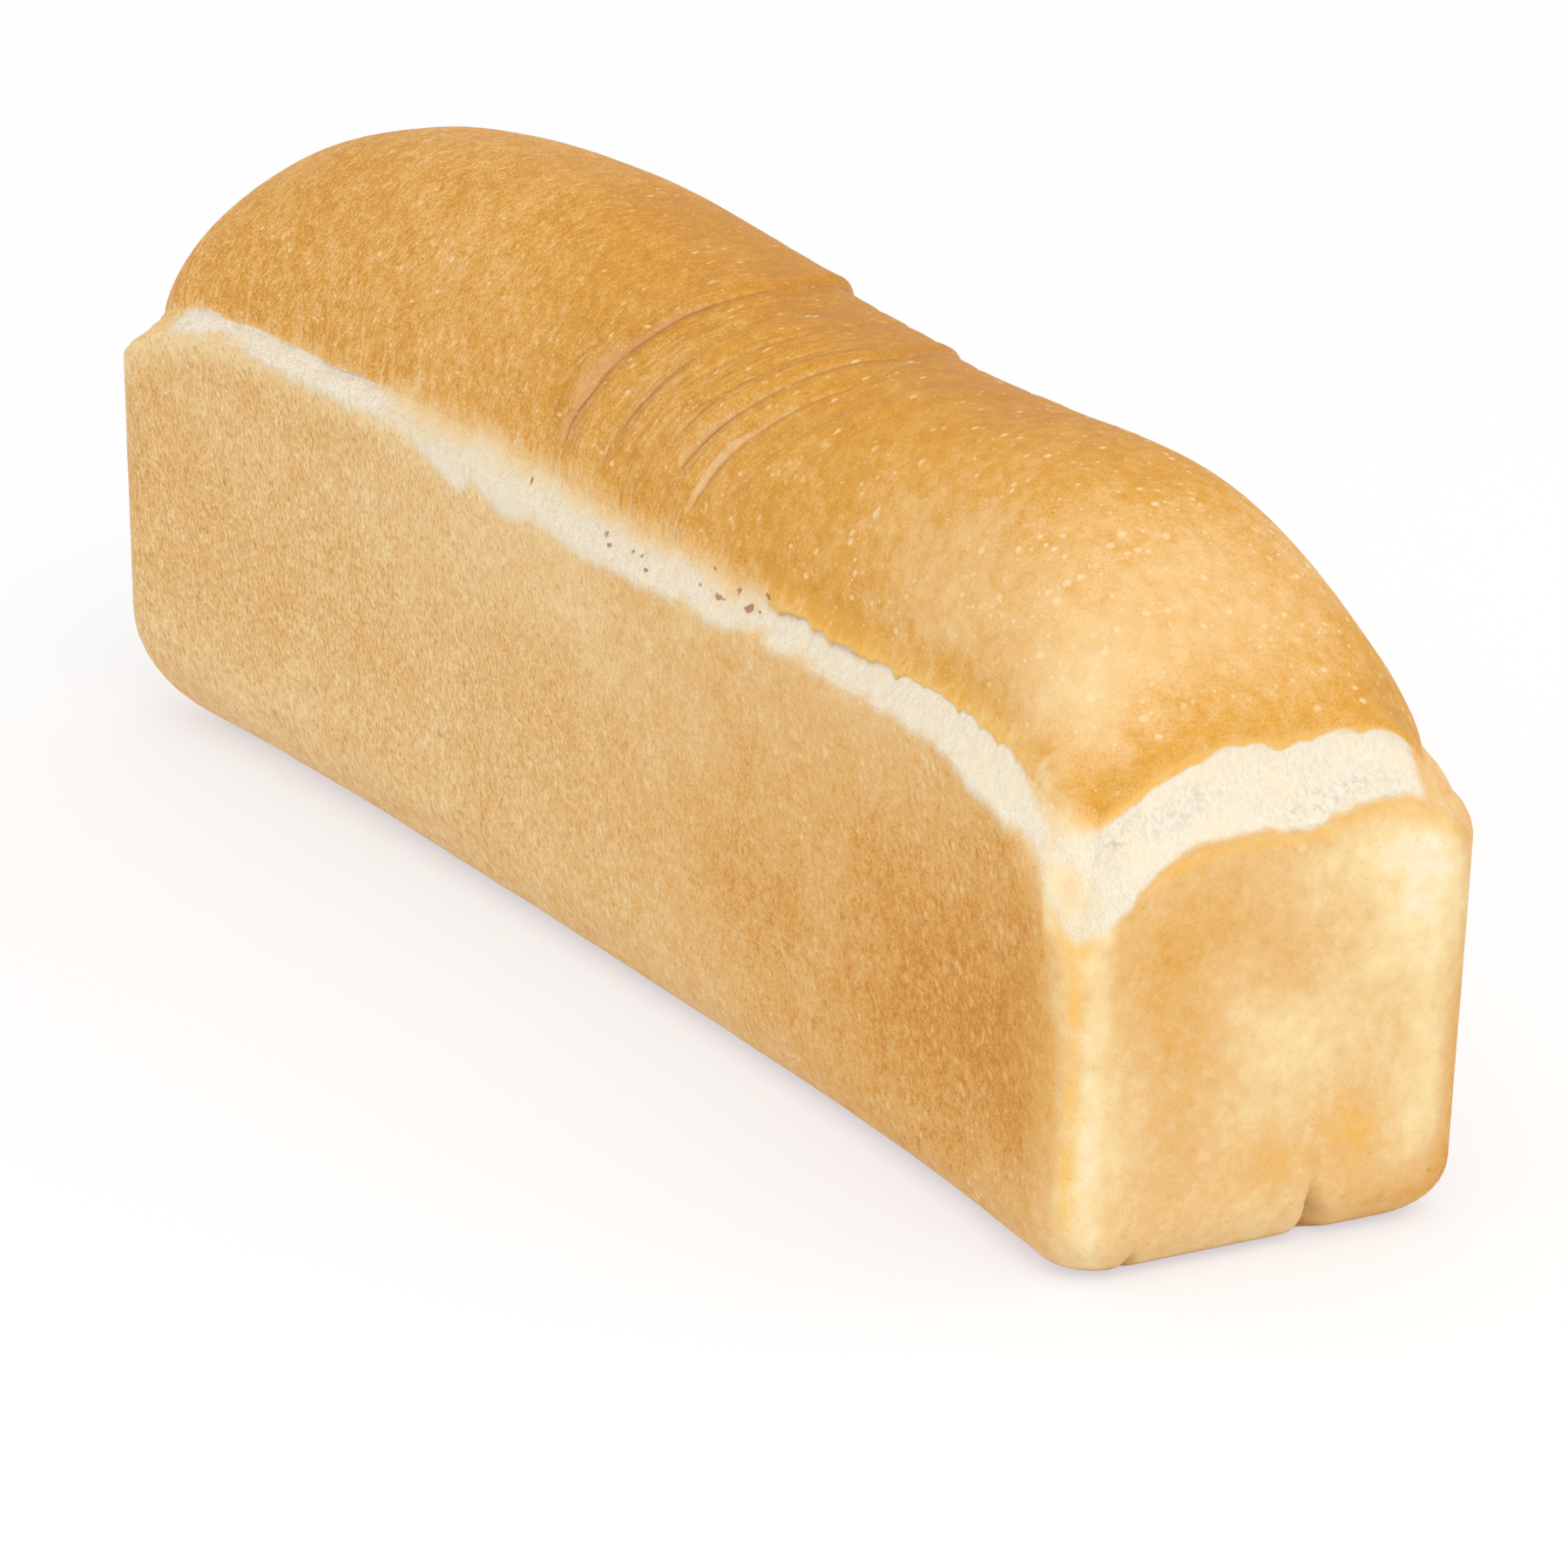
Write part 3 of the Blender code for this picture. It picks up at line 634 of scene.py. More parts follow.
def shape_edge(skin, style):
    """Tears scallops into the crust's edge, rolls it out over the band and swells the soft band."""
    lift = lift_above_lip(skin)
    level = skin.points * np.array([1.0, 1.0, 0.0])
    drop, tongue = scallops(skin.p, style, level)
    above = 1.0 - smooth(lift, 0.0, 0.006)
    below = (skin.share / LIP_SHARE) ** 2
    fall = drop * np.where(lift >= 0.0, above, below)
    fall[skin.ring < RIM_RING] = 0.0
    skin.points[:, 2] -= fall
    out = skin.normals()
    out[:, 2] = 0.0
    skin.points += out * edge_roll(skin, style, level, lift, tongue)[:, None]
    return lift


# Where the torn band is pitted: side, x or y and its spread, share and its spread, strength, brownness.
# Pits that are not brown are grey with painted shade.
PIT_ZONES = (
    ("front", -0.0187, 0.0010, 0.48, 0.14, 1.71, 1.0),
    ("front", -0.0116, 0.0010, 0.52, 0.10, 1.22, 1.0),
    ("front", 0.0170, 0.0015, 0.36, 0.10, 1.83, 1.0),
    ("front", 0.0202, 0.0013, 0.22, 0.06, 1.83, 1.0),
    ("front", 0.0297, 0.0011, 0.35, 0.06, 1.95, 1.0),
    ("front", 0.0338, 0.0011, 0.38, 0.09, 1.59, 1.0),
    ("front", 0.0377, 0.0013, 0.19, 0.05, 2.07, 1.0),
    ("front", 0.0276, 0.0010, 0.21, 0.04, 1.46, 1.0),
    ("front", 0.0520, 0.0016, 0.76, 0.10, 1.40, 0.8),
    ("front", 0.0616, 0.0018, 0.86, 0.07, 1.59, 1.0),
    ("front", 0.0587, 0.0013, 0.43, 0.08, 1.34, 1.0),
    ("front", 0.0677, 0.0022, 0.40, 0.09, 1.95, 1.0),
    ("front", 0.0729, 0.0018, 0.68, 0.13, 1.52, 1.0),
    ("front", 0.0789, 0.0022, 0.46, 0.12, 1.95, 1.0),
    ("front", 0.0831, 0.0013, 0.50, 0.06, 1.34, 0.8),
    ("front", 0.0850, 0.0022, 0.97, 0.05, 1.95, 1.0),
    ("front", 0.1133, 0.0037, 0.49, 0.16, 1.04, 0.7),
    ("front", 0.0300, 0.0120, 0.30, 0.24, 0.85, 0.9),
    ("front", 0.0660, 0.0140, 0.45, 0.30, 0.88, 0.8),
    ("front", 0.0000, 0.2000, 0.50, 0.50, 0.45, 0.2),
    ("end_a", 0.010, 0.016, 0.20, 0.16, 1.00, 0.0),
    ("end_a", -0.024, 0.012, 0.42, 0.22, 0.85, 0.0),
    ("end_a", -0.036, 0.006, 0.62, 0.16, 0.80, 0.0),
    ("end_a", -0.002, 0.030, 0.60, 0.50, 0.40, 0.1),
    ("back", -0.120, 0.030, 0.40, 0.30, 0.90, 0.8),
    ("back", 0.050, 0.040, 0.40, 0.30, 0.90, 0.6),
    ("back", 0.000, 0.200, 0.50, 0.50, 0.45, 0.2),
    ("end_b", 0.000, 0.030, 0.40, 0.30, 0.90, 0.1),
)


def pitted(skin):
    """How strongly each point of the band is pitted, by brown pits and by grey ones of painted shade."""
    brown = np.zeros(len(skin.points))
    pit_shade = np.zeros(len(skin.points))
    x, y, _ = skin.points.T
    sides = {
        "front": (skin.v < -0.999, x),
        "back": (skin.v > 0.999, x),
        "end_a": (skin.u > 0.999, y),
        "end_b": (skin.u < -0.999, y),
    }
    on_band = (skin.ring >= RIM_RING) & (skin.ring <= TOP_RING)
    for side, centre, spread, share, share_spread, strength, brownness in PIT_ZONES:
        there, along = sides[side]
        zone = strength * bump_at(along, centre, spread) * bump_at(skin.share, share, share_spread)
        zone = np.where(there & on_band, zone, 0.0)
        brown = np.maximum(brown, zone * brownness)
        pit_shade = np.maximum(pit_shade, zone * (1.0 - brownness))
    return brown, pit_shade


def push_directions(skin, lift):
    """Which way relief moves each point: level on the torn band, straight out of the skin elsewhere."""
    out = skin.normals()
    side = np.arange(skin.side_count)
    level = out[(RIM_RING - 4) * PERIMETER + side % PERIMETER] * np.array([1.0, 1.0, 0.0])
    free = np.where(skin.ring[side] < RIM_RING - 4, 1.0, smooth(lift[side], 0.0, EDGE_RISE))
    out[side] = mix(level, out[side], free[:, None])
    return out / np.linalg.norm(out, axis=1, keepdims=True)


WAVE_HEIGHT = 0.00028             # long waves of the walls and, half as high, of the dome
DIMPLE_HEIGHT = 0.00010           # dimples of the walls
FIBRE_HEIGHT = 0.00020            # leaning fibres of the crumb
LUMPS = (0.00030, 0.00095)        # height of the crumb's lumps, and the same where the band is soft
STREAK_HEIGHT = 0.00012           # wrinkles of the dome that follow the folds
SWELL_HEIGHT = 0.00028            # wide swells of the dome
HOLLOW_DEPTH = 0.00055            # hollows of the band's pits


def relief(skin, style, lift, pits):
    """Small relief of the skin: wavy walls, fibrous crumb, wrinkled dome."""
    points = skin.points
    wall = 1.0 - smooth(skin.ring, RIM_RING - 3, RIM_RING + 6)
    dome = smooth(lift, 0.0, 0.003)
    band = np.clip(1.0 - wall - dome, 0.0, 1.0)
    waves = layered(points, 0.055, 21, 2, (1.0, 1.0, 1.4)) * WAVE_HEIGHT
    dimples = layered(points, 0.0075, 22, 3, (1.0, 1.0, 1.5)) * DIMPLE_HEIGHT
    leaning = points + np.stack([0.35 * points[:, 2], 0.35 * points[:, 2], 0.0 * points[:, 2]], axis=-1)
    fibres = layered(leaning, 0.0024, 23, 2, (1.0, 1.0, 6.0)) * FIBRE_HEIGHT
    lumps = layered(points, 0.0055, 24, 2, (1.0, 1.0, 1.6)) * mix(*LUMPS, style.soft)
    arc = points.copy()
    arc[:, 0] -= fold_arc(skin.p, skin.v)
    streaks = layered(arc, 0.0042, 25, 2, (1.0, 4.0, 4.0)) * STREAK_HEIGHT
    waist = bump_at(arc[:, 0], 0.020, 0.050)
    swells = layered(points, 0.030, 26, 2) * SWELL_HEIGHT
    height = waves * (wall + 0.5 * dome) + dimples * wall
    height = height + (fibres + lumps) * band
    height = height + (streaks * (0.35 + 1.0 * waist) + swells) * dome
    hollows = smooth(layered(points, 0.0022, 27, 2, (1.0, 1.0, 1.5)), 0.15, 0.55) * HOLLOW_DEPTH
    return height - hollows * np.maximum(*pits) * band


def notch_line(z):
    """y of the middle of the notch at height z."""
    return NOTCH_Y + NOTCH_SWING * np.clip(1.0 - z / NOTCH_TURN, 0.0, 1.0)


def end_notch(skin):
    """How far the skin of end A sinks in at the notch in its foot and the crease above it."""
    x, y, z = skin.points.T
    on_end = smooth(x, 0.19, 0.215)
    line = notch_line(z)
    open_share = np.clip(1.0 - z / NOTCH_HEIGHT, 0.0, None)
    notch = NOTCH_DEPTH * bump_at(y, line, NOTCH_WIDTH * (0.5 + open_share)) * open_share**0.8
    crease_depth, crease_width = NOTCH_CREASE
    crease = crease_depth * bump_at(y, line, crease_width) * (1.0 - smooth(z, 0.010, 0.026))
    nick_depth, nick_width, nick_height = NICK
    nick = nick_depth * bump_at(y, NICK_Y, nick_width) * np.clip(1.0 - z / nick_height, 0.0, None)
    return on_end * (notch + crease + nick)


# ---------------------------------------------------------------- how baked, torn and tinted each point is
# Patches on the upright skin: centre x, y, z, spread x, y, z and how much deeper the baking is there.
WALL_PATCHES = (
    (0.165, -0.050, 0.045, 0.060, 0.030, 0.042, 0.33),
    (0.214, -0.050, 0.030, 0.020, 0.014, 0.045, 0.22),
    (0.085, -0.050, 0.036, 0.030, 0.030, 0.020, 0.12),
    (0.140, -0.050, 0.084, 0.030, 0.030, 0.012, -0.07),
    (0.200, -0.050, 0.083, 0.016, 0.030, 0.014, 0.14),
    (0.080, -0.050, 0.054, 0.040, 0.030, 0.020, 0.08),
    (0.000, -0.050, 0.080, 0.050, 0.030, 0.014, -0.07),
    (0.210, -0.050, 0.014, 0.018, 0.012, 0.014, -0.16),
    (-0.170, -0.045, 0.062, 0.040, 0.030, 0.018, 0.04),
    (-0.170, -0.045, 0.018, 0.060, 0.030, 0.016, -0.12),
    (-0.120, -0.045, 0.084, 0.050, 0.030, 0.014, -0.06),
    (-0.020, -0.045, 0.022, 0.110, 0.030, 0.020, -0.08),
    (-0.030, -0.045, 0.085, 0.060, 0.030, 0.018, -0.08),
    (0.030, -0.045, 0.094, 0.022, 0.030, 0.005, 0.10),
    (-0.130, 0.045, 0.040, 0.070, 0.030, 0.045, 0.22),
    (0.060, 0.045, 0.070, 0.080, 0.030, 0.020, -0.10),
    (0.200, 0.045, 0.020, 0.040, 0.030, 0.030, 0.15),
    (0.226, -0.010, 0.050, 0.016, 0.060, 0.060, -0.24),
    (0.226, -0.014, 0.073, 0.016, 0.018, 0.012, 0.22),
    (0.226, -0.030, 0.062, 0.016, 0.010, 0.016, 0.20),
    (0.226, -0.020, 0.050, 0.016, 0.010, 0.010, 0.16),
    (0.226, 0.002, 0.060, 0.016, 0.008, 0.008, 0.16),
    (0.226, -0.022, 0.030, 0.016, 0.008, 0.020, 0.14),
    (0.226, 0.034, 0.074, 0.016, 0.012, 0.018, -0.36),
    (0.226, 0.020, 0.084, 0.016, 0.014, 0.008, -0.16),
    (0.226, 0.034, 0.022, 0.016, 0.009, 0.012, -0.22),
    (0.226, -0.042, 0.028, 0.016, 0.009, 0.034, -0.24),
    (0.226, 0.000, 0.050, 0.016, 0.010, 0.010, -0.10),
    (0.226, 0.036, 0.042, 0.016, 0.006, 0.014, -0.16),
    (0.226, 0.018, 0.024, 0.016, 0.008, 0.008, 0.22),
    (0.226, -0.003, 0.021, 0.016, 0.009, 0.006, 0.18),
    (0.226, 0.026, 0.008, 0.016, 0.012, 0.006, 0.12),
    (0.226, 0.046, 0.030, 0.016, 0.006, 0.040, 0.26),
    (0.226, 0.046, 0.086, 0.016, 0.008, 0.012, 0.26),
    (0.226, 0.040, 0.010, 0.016, 0.012, 0.008, 0.12),
    (-0.226, 0.000, 0.050, 0.020, 0.030, 0.030, 0.15),
    (-0.226, 0.020, 0.020, 0.020, 0.016, 0.014, -0.15),
)
# The same on the domed crust.
CRUST_PATCHES = (
    (-0.070, -0.030, 0.135, 0.040, 0.020, 0.025, -0.08),
    (0.040, -0.030, 0.130, 0.020, 0.016, 0.020, -0.05),
    (0.010, 0.014, 0.155, 0.110, 0.030, 0.014, 0.30),
    (0.110, 0.012, 0.160, 0.050, 0.026, 0.014, 0.16),
    # The five paler patches on hump A that follow are partly paler baking and partly painted light on the
    # side that faces the key light.
    (0.160, -0.034, 0.127, 0.048, 0.015, 0.024, -0.20),
    (0.202, -0.008, 0.122, 0.024, 0.038, 0.026, -0.25),
    (0.166, -0.020, 0.156, 0.022, 0.016, 0.016, -0.14),
    (0.196, 0.000, 0.145, 0.018, 0.024, 0.020, -0.05),
    (0.200, -0.034, 0.112, 0.016, 0.010, 0.014, -0.18),
    (0.150, -0.042, 0.110, 0.050, 0.006, 0.006, 0.06),
    (0.215, 0.030, 0.112, 0.020, 0.012, 0.014, 0.12),
)
WALL_BAKE = 0.56                  # baking of the plain wall, from 0 hardly browned to 1 deeply browned
CRUST_BAKE = 0.76                 # the same of the plain crust
PALE_RIM = 0.26                   # how much less the wall has baked along its rim
BROWN_SOLE = 0.34                 # how much more it has baked where it rests
PALE_CORNER = 0.17                # how much less it has baked down end A's front corner
PALE_CORNER_TOP = 0.20            # and how much less again just below the rim there
PALE_HAIRS = 0.22                 # how much less the fine stretch lines towards end B have baked
PALE_TEARS = 0.34                 # the same of the stretch lines above the ragged edge
# Those lines: how many, their seed, and the ranges of start in x, slope, height and width.
HAIRS = (30, 51, (-0.20, -0.07), (-0.25, 0.35), (0.008, 0.030), (0.0003, 0.0007))
TEARS = (60, 52, (0.082, 0.205), (0.2, 1.4), (0.003, 0.009), (0.0005, 0.0010))


def patched(points, patches):
    total = np.zeros(len(points))
    for patch in patches:
        away = (points - np.array(patch[:3])) / np.array(patch[3:6])
        total += patch[6] * np.exp(-(away**2).sum(1))
    return total


def strokes(skin, lift, count, seed, reach, lean, tall, widths):
    """Thin stretch lines that rise from the crust's edge: a mask that is 1 along their middles.

    reach, lean, tall and widths are the ranges of their start in x, slope, height and width.
    """
    rng = np.random.default_rng(seed)
    mask = np.zeros(len(skin.points))
    x = skin.points[:, 0]
    near = (lift > -0.001) & (lift < tall[1] * 1.1) & (skin.v < 0)
    at = np.nonzero(near)[0]
    for _ in range(count):
        start = rng.uniform(*reach)
        slope = rng.uniform(*lean)
        top = rng.uniform(*tall)
        width = rng.uniform(*widths)
        bend = rng.uniform(-0.12, 0.12)
        height = lift[at]
        line = start + slope * height + bend * height * height / top
        fade = 1.0 - smooth(height, 0.35 * top, top)
        mask[at] = np.maximum(mask[at], bump_at(x[at], line, width) * fade * rng.uniform(0.4, 1.0))
    return mask


def corner_keep(skin):
    """Share of the torn band that shows: less at the corners, where the skin has closed over it."""
    x, y, _ = skin.points.T
    end = facing_end(skin)
    far_corner = smooth(x, -0.184, -0.198) * (1.0 - end) + smooth(x, 0.0, -0.01) * end
    far_corner = far_corner * (1.0 - smooth(skin.u, -0.97, -1.0) * smooth(np.abs(y), 0.036, 0.028))
    back_corner = smooth(x, 0.19, 0.21) * smooth(y, 0.028, 0.034)
    front_corner = smooth(x, 0.198, 0.212) * smooth(y, -0.038, -0.045)
    blotches = 0.5 + 0.5 * layered(skin.points, 0.0075, 47, 2)
    keep = (1.0 - far_corner) * (1.0 - back_corner)
    return keep * (1.0 - front_corner * (0.05 + 0.75 * blotches))


class Site:
    """Where each point of the finished skin lies: on which side, and how far from the rim and the lip."""

    def __init__(self, skin, style, lift):
        self.skin = skin
        self.style = style
        self.lift = lift
        self.x, self.y, self.z = skin.points.T
        self.end = facing_end(skin)
        self.on_end_a = self.end * (self.x > 0)
        self.above_rim = height_above_rim(skin)
        self.in_foot = skin.ring <= FOOT_RINGS
        self.clear = np.clip(style.crisp + style.ragged, 0.0, 1.0)
        self.wobble = self.layered(0.014, 41, 3) * 0.0030 + self.noise(0.0030, 42, (1, 1, 2.0)) * 0.0007

    def noise(self, feature, seed, stretch=(1.0, 1.0, 1.0)):
        return noise(self.skin.points, feature, seed, stretch)

    def layered(self, feature, seed, layers=3, stretch=(1.0, 1.0, 1.0)):
        return layered(self.skin.points, feature, seed, layers, stretch)


def torn_share(site):
    """1 on the torn crumb between the rim and the crust's edge, fading out or ending clearly at each."""
    x, end, on_end_a, style = site.x, site.end, site.on_end_a, site.style
    front = smooth(site.skin.v, 0.0, -0.9)
    spill = 0.0065 * bump_at(x, -0.050, 0.013) + 0.0030 * bump_at(x, -0.024, 0.010)
    spill = (spill + 0.0015 * bump_at(x, 0.02, 0.02)) * front * (1.0 - end)
    raised = 0.0019 * smooth(x, 0.06, 0.09) * (1.0 - 0.6 * smooth(x, 0.12, 0.16))
    spill -= raised * (1.0 - end) + 0.0026 * smooth(x, -0.140, -0.175)
    spill += 0.0036 * on_end_a * smooth(site.y, -0.026, -0.038)
    spill -= 0.0035 * bump_at(x, 0.205, 0.010) * (1.0 - end)
    fade_low = mix(-0.0048, -0.0022, on_end_a)
    low_wobble = site.wobble * (1.0 - 0.1 * on_end_a)
    rim_fade = smooth(site.above_rim + low_wobble + spill, fade_low, 0.0016)
    high_edge = mix(mix(0.0045, 0.0026, style.soft), 0.0007, site.clear)
    low_edge = mix(mix(-0.0085, -0.0006, style.soft), -0.0004, site.clear)
    high_wobble = site.wobble * (0.15 + 0.9 * style.faded + 0.30 * style.crisp)
    lip_fade = 1.0 - smooth(site.lift + high_wobble, low_edge, high_edge)
    return rim_fade * lip_fade * corner_keep(site.skin)


def crust_share(site):
    """1 on the crust and 0 on the walls, eased over the rim at end A's corners."""
    plain = smooth(site.above_rim, -0.001, 0.003)
    eased = smooth(site.above_rim, -0.010, 0.010)
    at_rim = mix(plain, eased, smooth(site.x, 0.19, 0.21))
    return np.maximum(smooth(site.lift, -0.0005, 0.0015), at_rim * 0.6)


def wall_baking(site):
    """How far the upright skin has baked, and the golden line down end A's front corner."""
    x, z, above_rim = site.x, site.z, site.above_rim
    bake = WALL_BAKE + patched(site.skin.points, WALL_PATCHES)
    bake += site.layered(0.060, 43, 3) * 0.09 + site.layered(0.014, 44, 2) * 0.05
    pale_front = mix(0.40, 1.0, smooth(x, 0.06, -0.02))
    pale_rim = bump_at(above_rim, 0.0, 0.006) * along_border(site.skin, pale_front, 0.5, -0.3, 0.3)
    bake += BROWN_SOLE * smooth(z, 0.0040, 0.0) * site.in_foot - PALE_RIM * pale_rim

    # The corner between the front and end A is pale, with a golden line down its middle.
    turn = corner_distance(site.skin)
    at_front_a = smooth(x, 0.19, 0.20) * (site.skin.v < 0.0)
    brown_until = mix(-0.0050, -0.0125, smooth(z, 0.045, 0.080))
    pale = smooth(turn, brown_until - 0.001, brown_until + 0.0025) * smooth(turn, 0.0110, 0.0060)
    pale = pale * at_front_a * (0.75 + 0.25 * smooth(above_rim, -0.05, 0.0))
    bake -= pale * (PALE_CORNER + PALE_CORNER_TOP * smooth(above_rim, -0.014, 0.003))
    bake += 0.32 * site.layered(0.0050, 49, 2) * pale * smooth(above_rim, -0.024, 0.0)
    down_corner = at_front_a * smooth(z, 0.006, 0.02) * smooth(above_rim, 0.006, -0.003)
    bake -= 0.07 * bump_at(turn, 0.0035, 0.0022) * down_corner
    width = 0.0015 + 0.0030 * bump_at(above_rim, -0.004, 0.007)
    line = bump_at(turn + 0.0008 * site.noise(0.012, 48, (1, 1, 2)), -0.0005, width) * down_corner
    return bake, line * np.clip(0.80 + 0.70 * site.layered(0.0045, 67, 2), 0.2, 1.0)


def crust_baking(site):
    """How far the dome has baked: palest at its edge, with paler stretch lines."""
    style, lift = site.style, site.lift
    bake = CRUST_BAKE + patched(site.skin.points, CRUST_PATCHES)
    bake += site.layered(0.050, 45, 3) * 0.05 + site.layered(0.012, 46, 2) * 0.05
    reach = mix(mix(0.0090, 0.0050, style.soft), mix(0.0030, 0.0016, style.crisp), site.clear)
    start = mix(mix(0.32, 0.52, style.soft), mix(0.46, 0.60, style.crisp), site.clear)
    rise = smooth(lift + site.wobble * style.faded, -0.0040 * style.faded, reach)
    bake = mix(start, bake, rise) + 0.05 * site.clear * bump_at(lift, 0.0052, 0.0026)
    hairs = strokes(site.skin, lift, *HAIRS)
    tears = strokes(site.skin, lift, *TEARS)
    return bake - PALE_HAIRS * hairs - PALE_TEARS * tears


def folded_skin(site):
    """The folds across the waist: a dark line of painted shade in each, and a strip beside it that is
    paler, with painted light on its ridge, and on some folds pinkish, partly the skin's own colour and
    partly painted light.
    """
    skin = site.skin
    arc = site.x - fold_arc(skin.p, skin.v) + 0.0007 * site.noise(0.014, 65)
    uneven = 0.82 + 0.42 * site.noise(0.011, 62)
    beside = np.abs(skin.v)
    breadth = 0.34 + 0.40 * bump_at(beside, 0.92, 0.08) + 0.14 * site.noise(0.006, 64)
    cleft = 0.0
    blush = 0.0
    ridge_light = 0.0
    for lip_x, first, last, _, dark, wide, pale, pink in FOLD_LINES:
        ahead = arc - lip_x
        strength = fold_reach(skin.v, first, last) * uneven
        width = wide * breadth
        strip = smooth(ahead, -width * 1.3, -width * 0.55) * smooth(ahead, 0.0003, -0.0006)
        cleft = cleft + strength * dark * bump_at(ahead, 0.0005, 0.0021)
        blush = blush + strength * strip * pink * smooth(beside, 0.44, 0.70)
        ridge_light = ridge_light + strength * strip * pale
    return arc, np.clip(cleft, 0.0, 1.0), np.clip(blush, 0.0, 1.0), ridge_light


def golden_edges(site, torn, golden_line):
    """Saturated gold along the clear edges, along the rim of end A, by its notch and down its corner."""
    y, z, lift, style = site.y, site.z, site.lift, site.style
    reach = mix(0.0013, 0.0006, style.crisp)
    gilt = bump_at(lift, reach * 0.7, reach) * (style.ragged + style.crisp + 0.15 * style.soft)
    gilt = gilt * np.clip(0.70 + 0.80 * site.layered(0.009, 63, 2), 0.0, 1.2)
    gilt += 0.52 * style.ragged * smooth(lift, 0.0, 0.001) * smooth(lift, 0.0095, 0.0030)
    gilt = gilt * (1.0 - torn)
    gilt += site.on_end_a * 0.55 * bump_at(site.above_rim, -0.0024, 0.0014) * smooth(y, -0.040, -0.030)
    lobes = bump_at(y, 0.018, 0.0080) * bump_at(z, 0.0235, 0.0080)
    lobes += 0.8 * bump_at(y, -0.003, 0.0080) * bump_at(z, 0.0210, 0.0055)
    lobes = lobes * site.on_end_a * np.clip(0.75 + 0.8 * site.layered(0.005, 66, 2), 0.0, 1.0)
    return np.clip(gilt + 0.95 * golden_line + 0.55 * lobes, 0.0, 1.0) * (1.0 - 0.8 * torn)


def shaded_crumb(site, torn):
    """Painted shade on the crumb under the crust's edge, with a thin painted shadow line along it, and the
    painted shade of a crack along the rim of the front.
    """
    x, lift, style = site.x, site.lift, site.style
    calmer = 1.0 - 0.85 * smooth(x, 0.118, 0.150)
    fine = 0.5 + 0.5 * site.layered(0.0040, 53, 2, (1, 1, 2.5))
    overhang = 0.34 * style.ragged * calmer + 0.20 * style.soft + 0.22 * style.crisp
    under_edge = bump_at(lift, -0.0006, 0.0012) * overhang * smooth(torn, 0.2, 0.8) * (0.35 + 0.65 * fine)
    # A thin line of painted shadow just under the crust's edge.
    outline = bump_at(lift, -0.0003, 0.0005) * (style.ragged * calmer + 0.5 * style.soft)
    outline = outline * smooth(torn, 0.1, 0.5) * smooth(site.layered(0.007, 55, 2), -0.10, 0.35)
    # Painted shade of a thin crack along the rim of the front.
    crack = bump_at(site.above_rim, 0.0010 + 0.0016 * site.noise(0.006, 54), 0.00028)
    crack = crack * smooth(site.skin.v, 0.0, -0.9) * smooth(fine, 0.25, 0.6)
    crack = crack * smooth(x, -0.068, -0.062) * smooth(x, -0.042, -0.048)
    return np.clip(under_edge + 0.8 * crack + 0.8 * outline, 0.0, 1.0)


def painted_shade_lines(site):
    """Painted contact shadow as a dark line where the loaf rests, and painted shade in the notch and the
    nick of end A. It may pass 1.
    """
    x, y, z = site.x, site.y, site.z
    sole = 2.4 * smooth(z, 0.0024, 0.0008) * site.in_foot
    down_notch = 2.6 * smooth(z, 0.0095, 0.0025) + 0.5 * smooth(z, 0.024, 0.010)
    notch = bump_at(y, notch_line(z), 0.0011) * down_notch
    nick = 1.8 * bump_at(y, NICK_Y, 0.0010) * smooth(z, 0.0070, 0.0030)
    return np.maximum(sole, (notch + nick) * (x > 0.20))


def looks(skin, style, lift, pits):
    """The masks that the materials and the blister nodes read, one number for each point."""
    site = Site(skin, style, lift)
    torn = torn_share(site)
    crust = crust_share(site)
    wall_bake, golden_line = wall_baking(site)
    arc, cleft, blush, ridge_light = folded_skin(site)
    blisters = smooth(lift, 0.003, 0.010) * mix(0.30, 1.0, smooth(site.x, 0.05, 0.13))
    brown, pit_shade = pits
    return {
        # The crust's baking is lowered on the folds' ridges as painted light.
        "bake": np.clip(mix(wall_bake, crust_baking(site) - ridge_light, crust), 0.0, 1.0),
        "torn": np.clip(torn, 0.0, 1.0),
        "crust": crust,
        "pit": brown,
        # Painted shade in the band's grey pits.
        "hollow": pit_shade,
        # Painted shade under the crust's edge, a painted shadow line along it and a painted crack.
        "shade": shaded_crumb(site, torn),
        # Pinkish fold strips, partly the skin's colour and partly painted light.
        "blush": blush,
        # Dark lines of painted shade in the folds, plus painted contact shadow at the base and painted
        # shade in end A's notch.
        "cleft": cleft + painted_shade_lines(site),
        "gilt": golden_edges(site, torn, golden_line),
        "fold_x": arc,
        "blisters": np.where(skin.ring > TOP_RING, blisters, 0.0),
    }


def finished_skin(p):
    """The skin with its torn edge, relief and notch, and its masks."""
    skin = Skin(p)
    style = EdgeStyle(skin)
    lift = shape_edge(skin, style)
    pits = pitted(skin)
    out = push_directions(skin, lift)
    rise = relief(skin, style, lift, pits) - end_notch(skin)
    step = out * rise[:, None]
    grounded = smooth(skin.points[:, 2], 0.0, 0.004)
    step[:, 2] *= grounded
    skin.points += step
    skin.points[:PERIMETER, 2] = 0.0
    return skin, looks(skin, style, lift, pits)


_made = {}


def whole_skin(p):
    """The finished skin and its masks, worked out once for all the pieces of one set of sizes."""
    sizes = tuple(getattr(p, name) for name in TinLoafShape.__annotations__)
    if sizes not in _made:
        _made.clear()
        _made[sizes] = finished_skin(p)
    return _made[sizes]


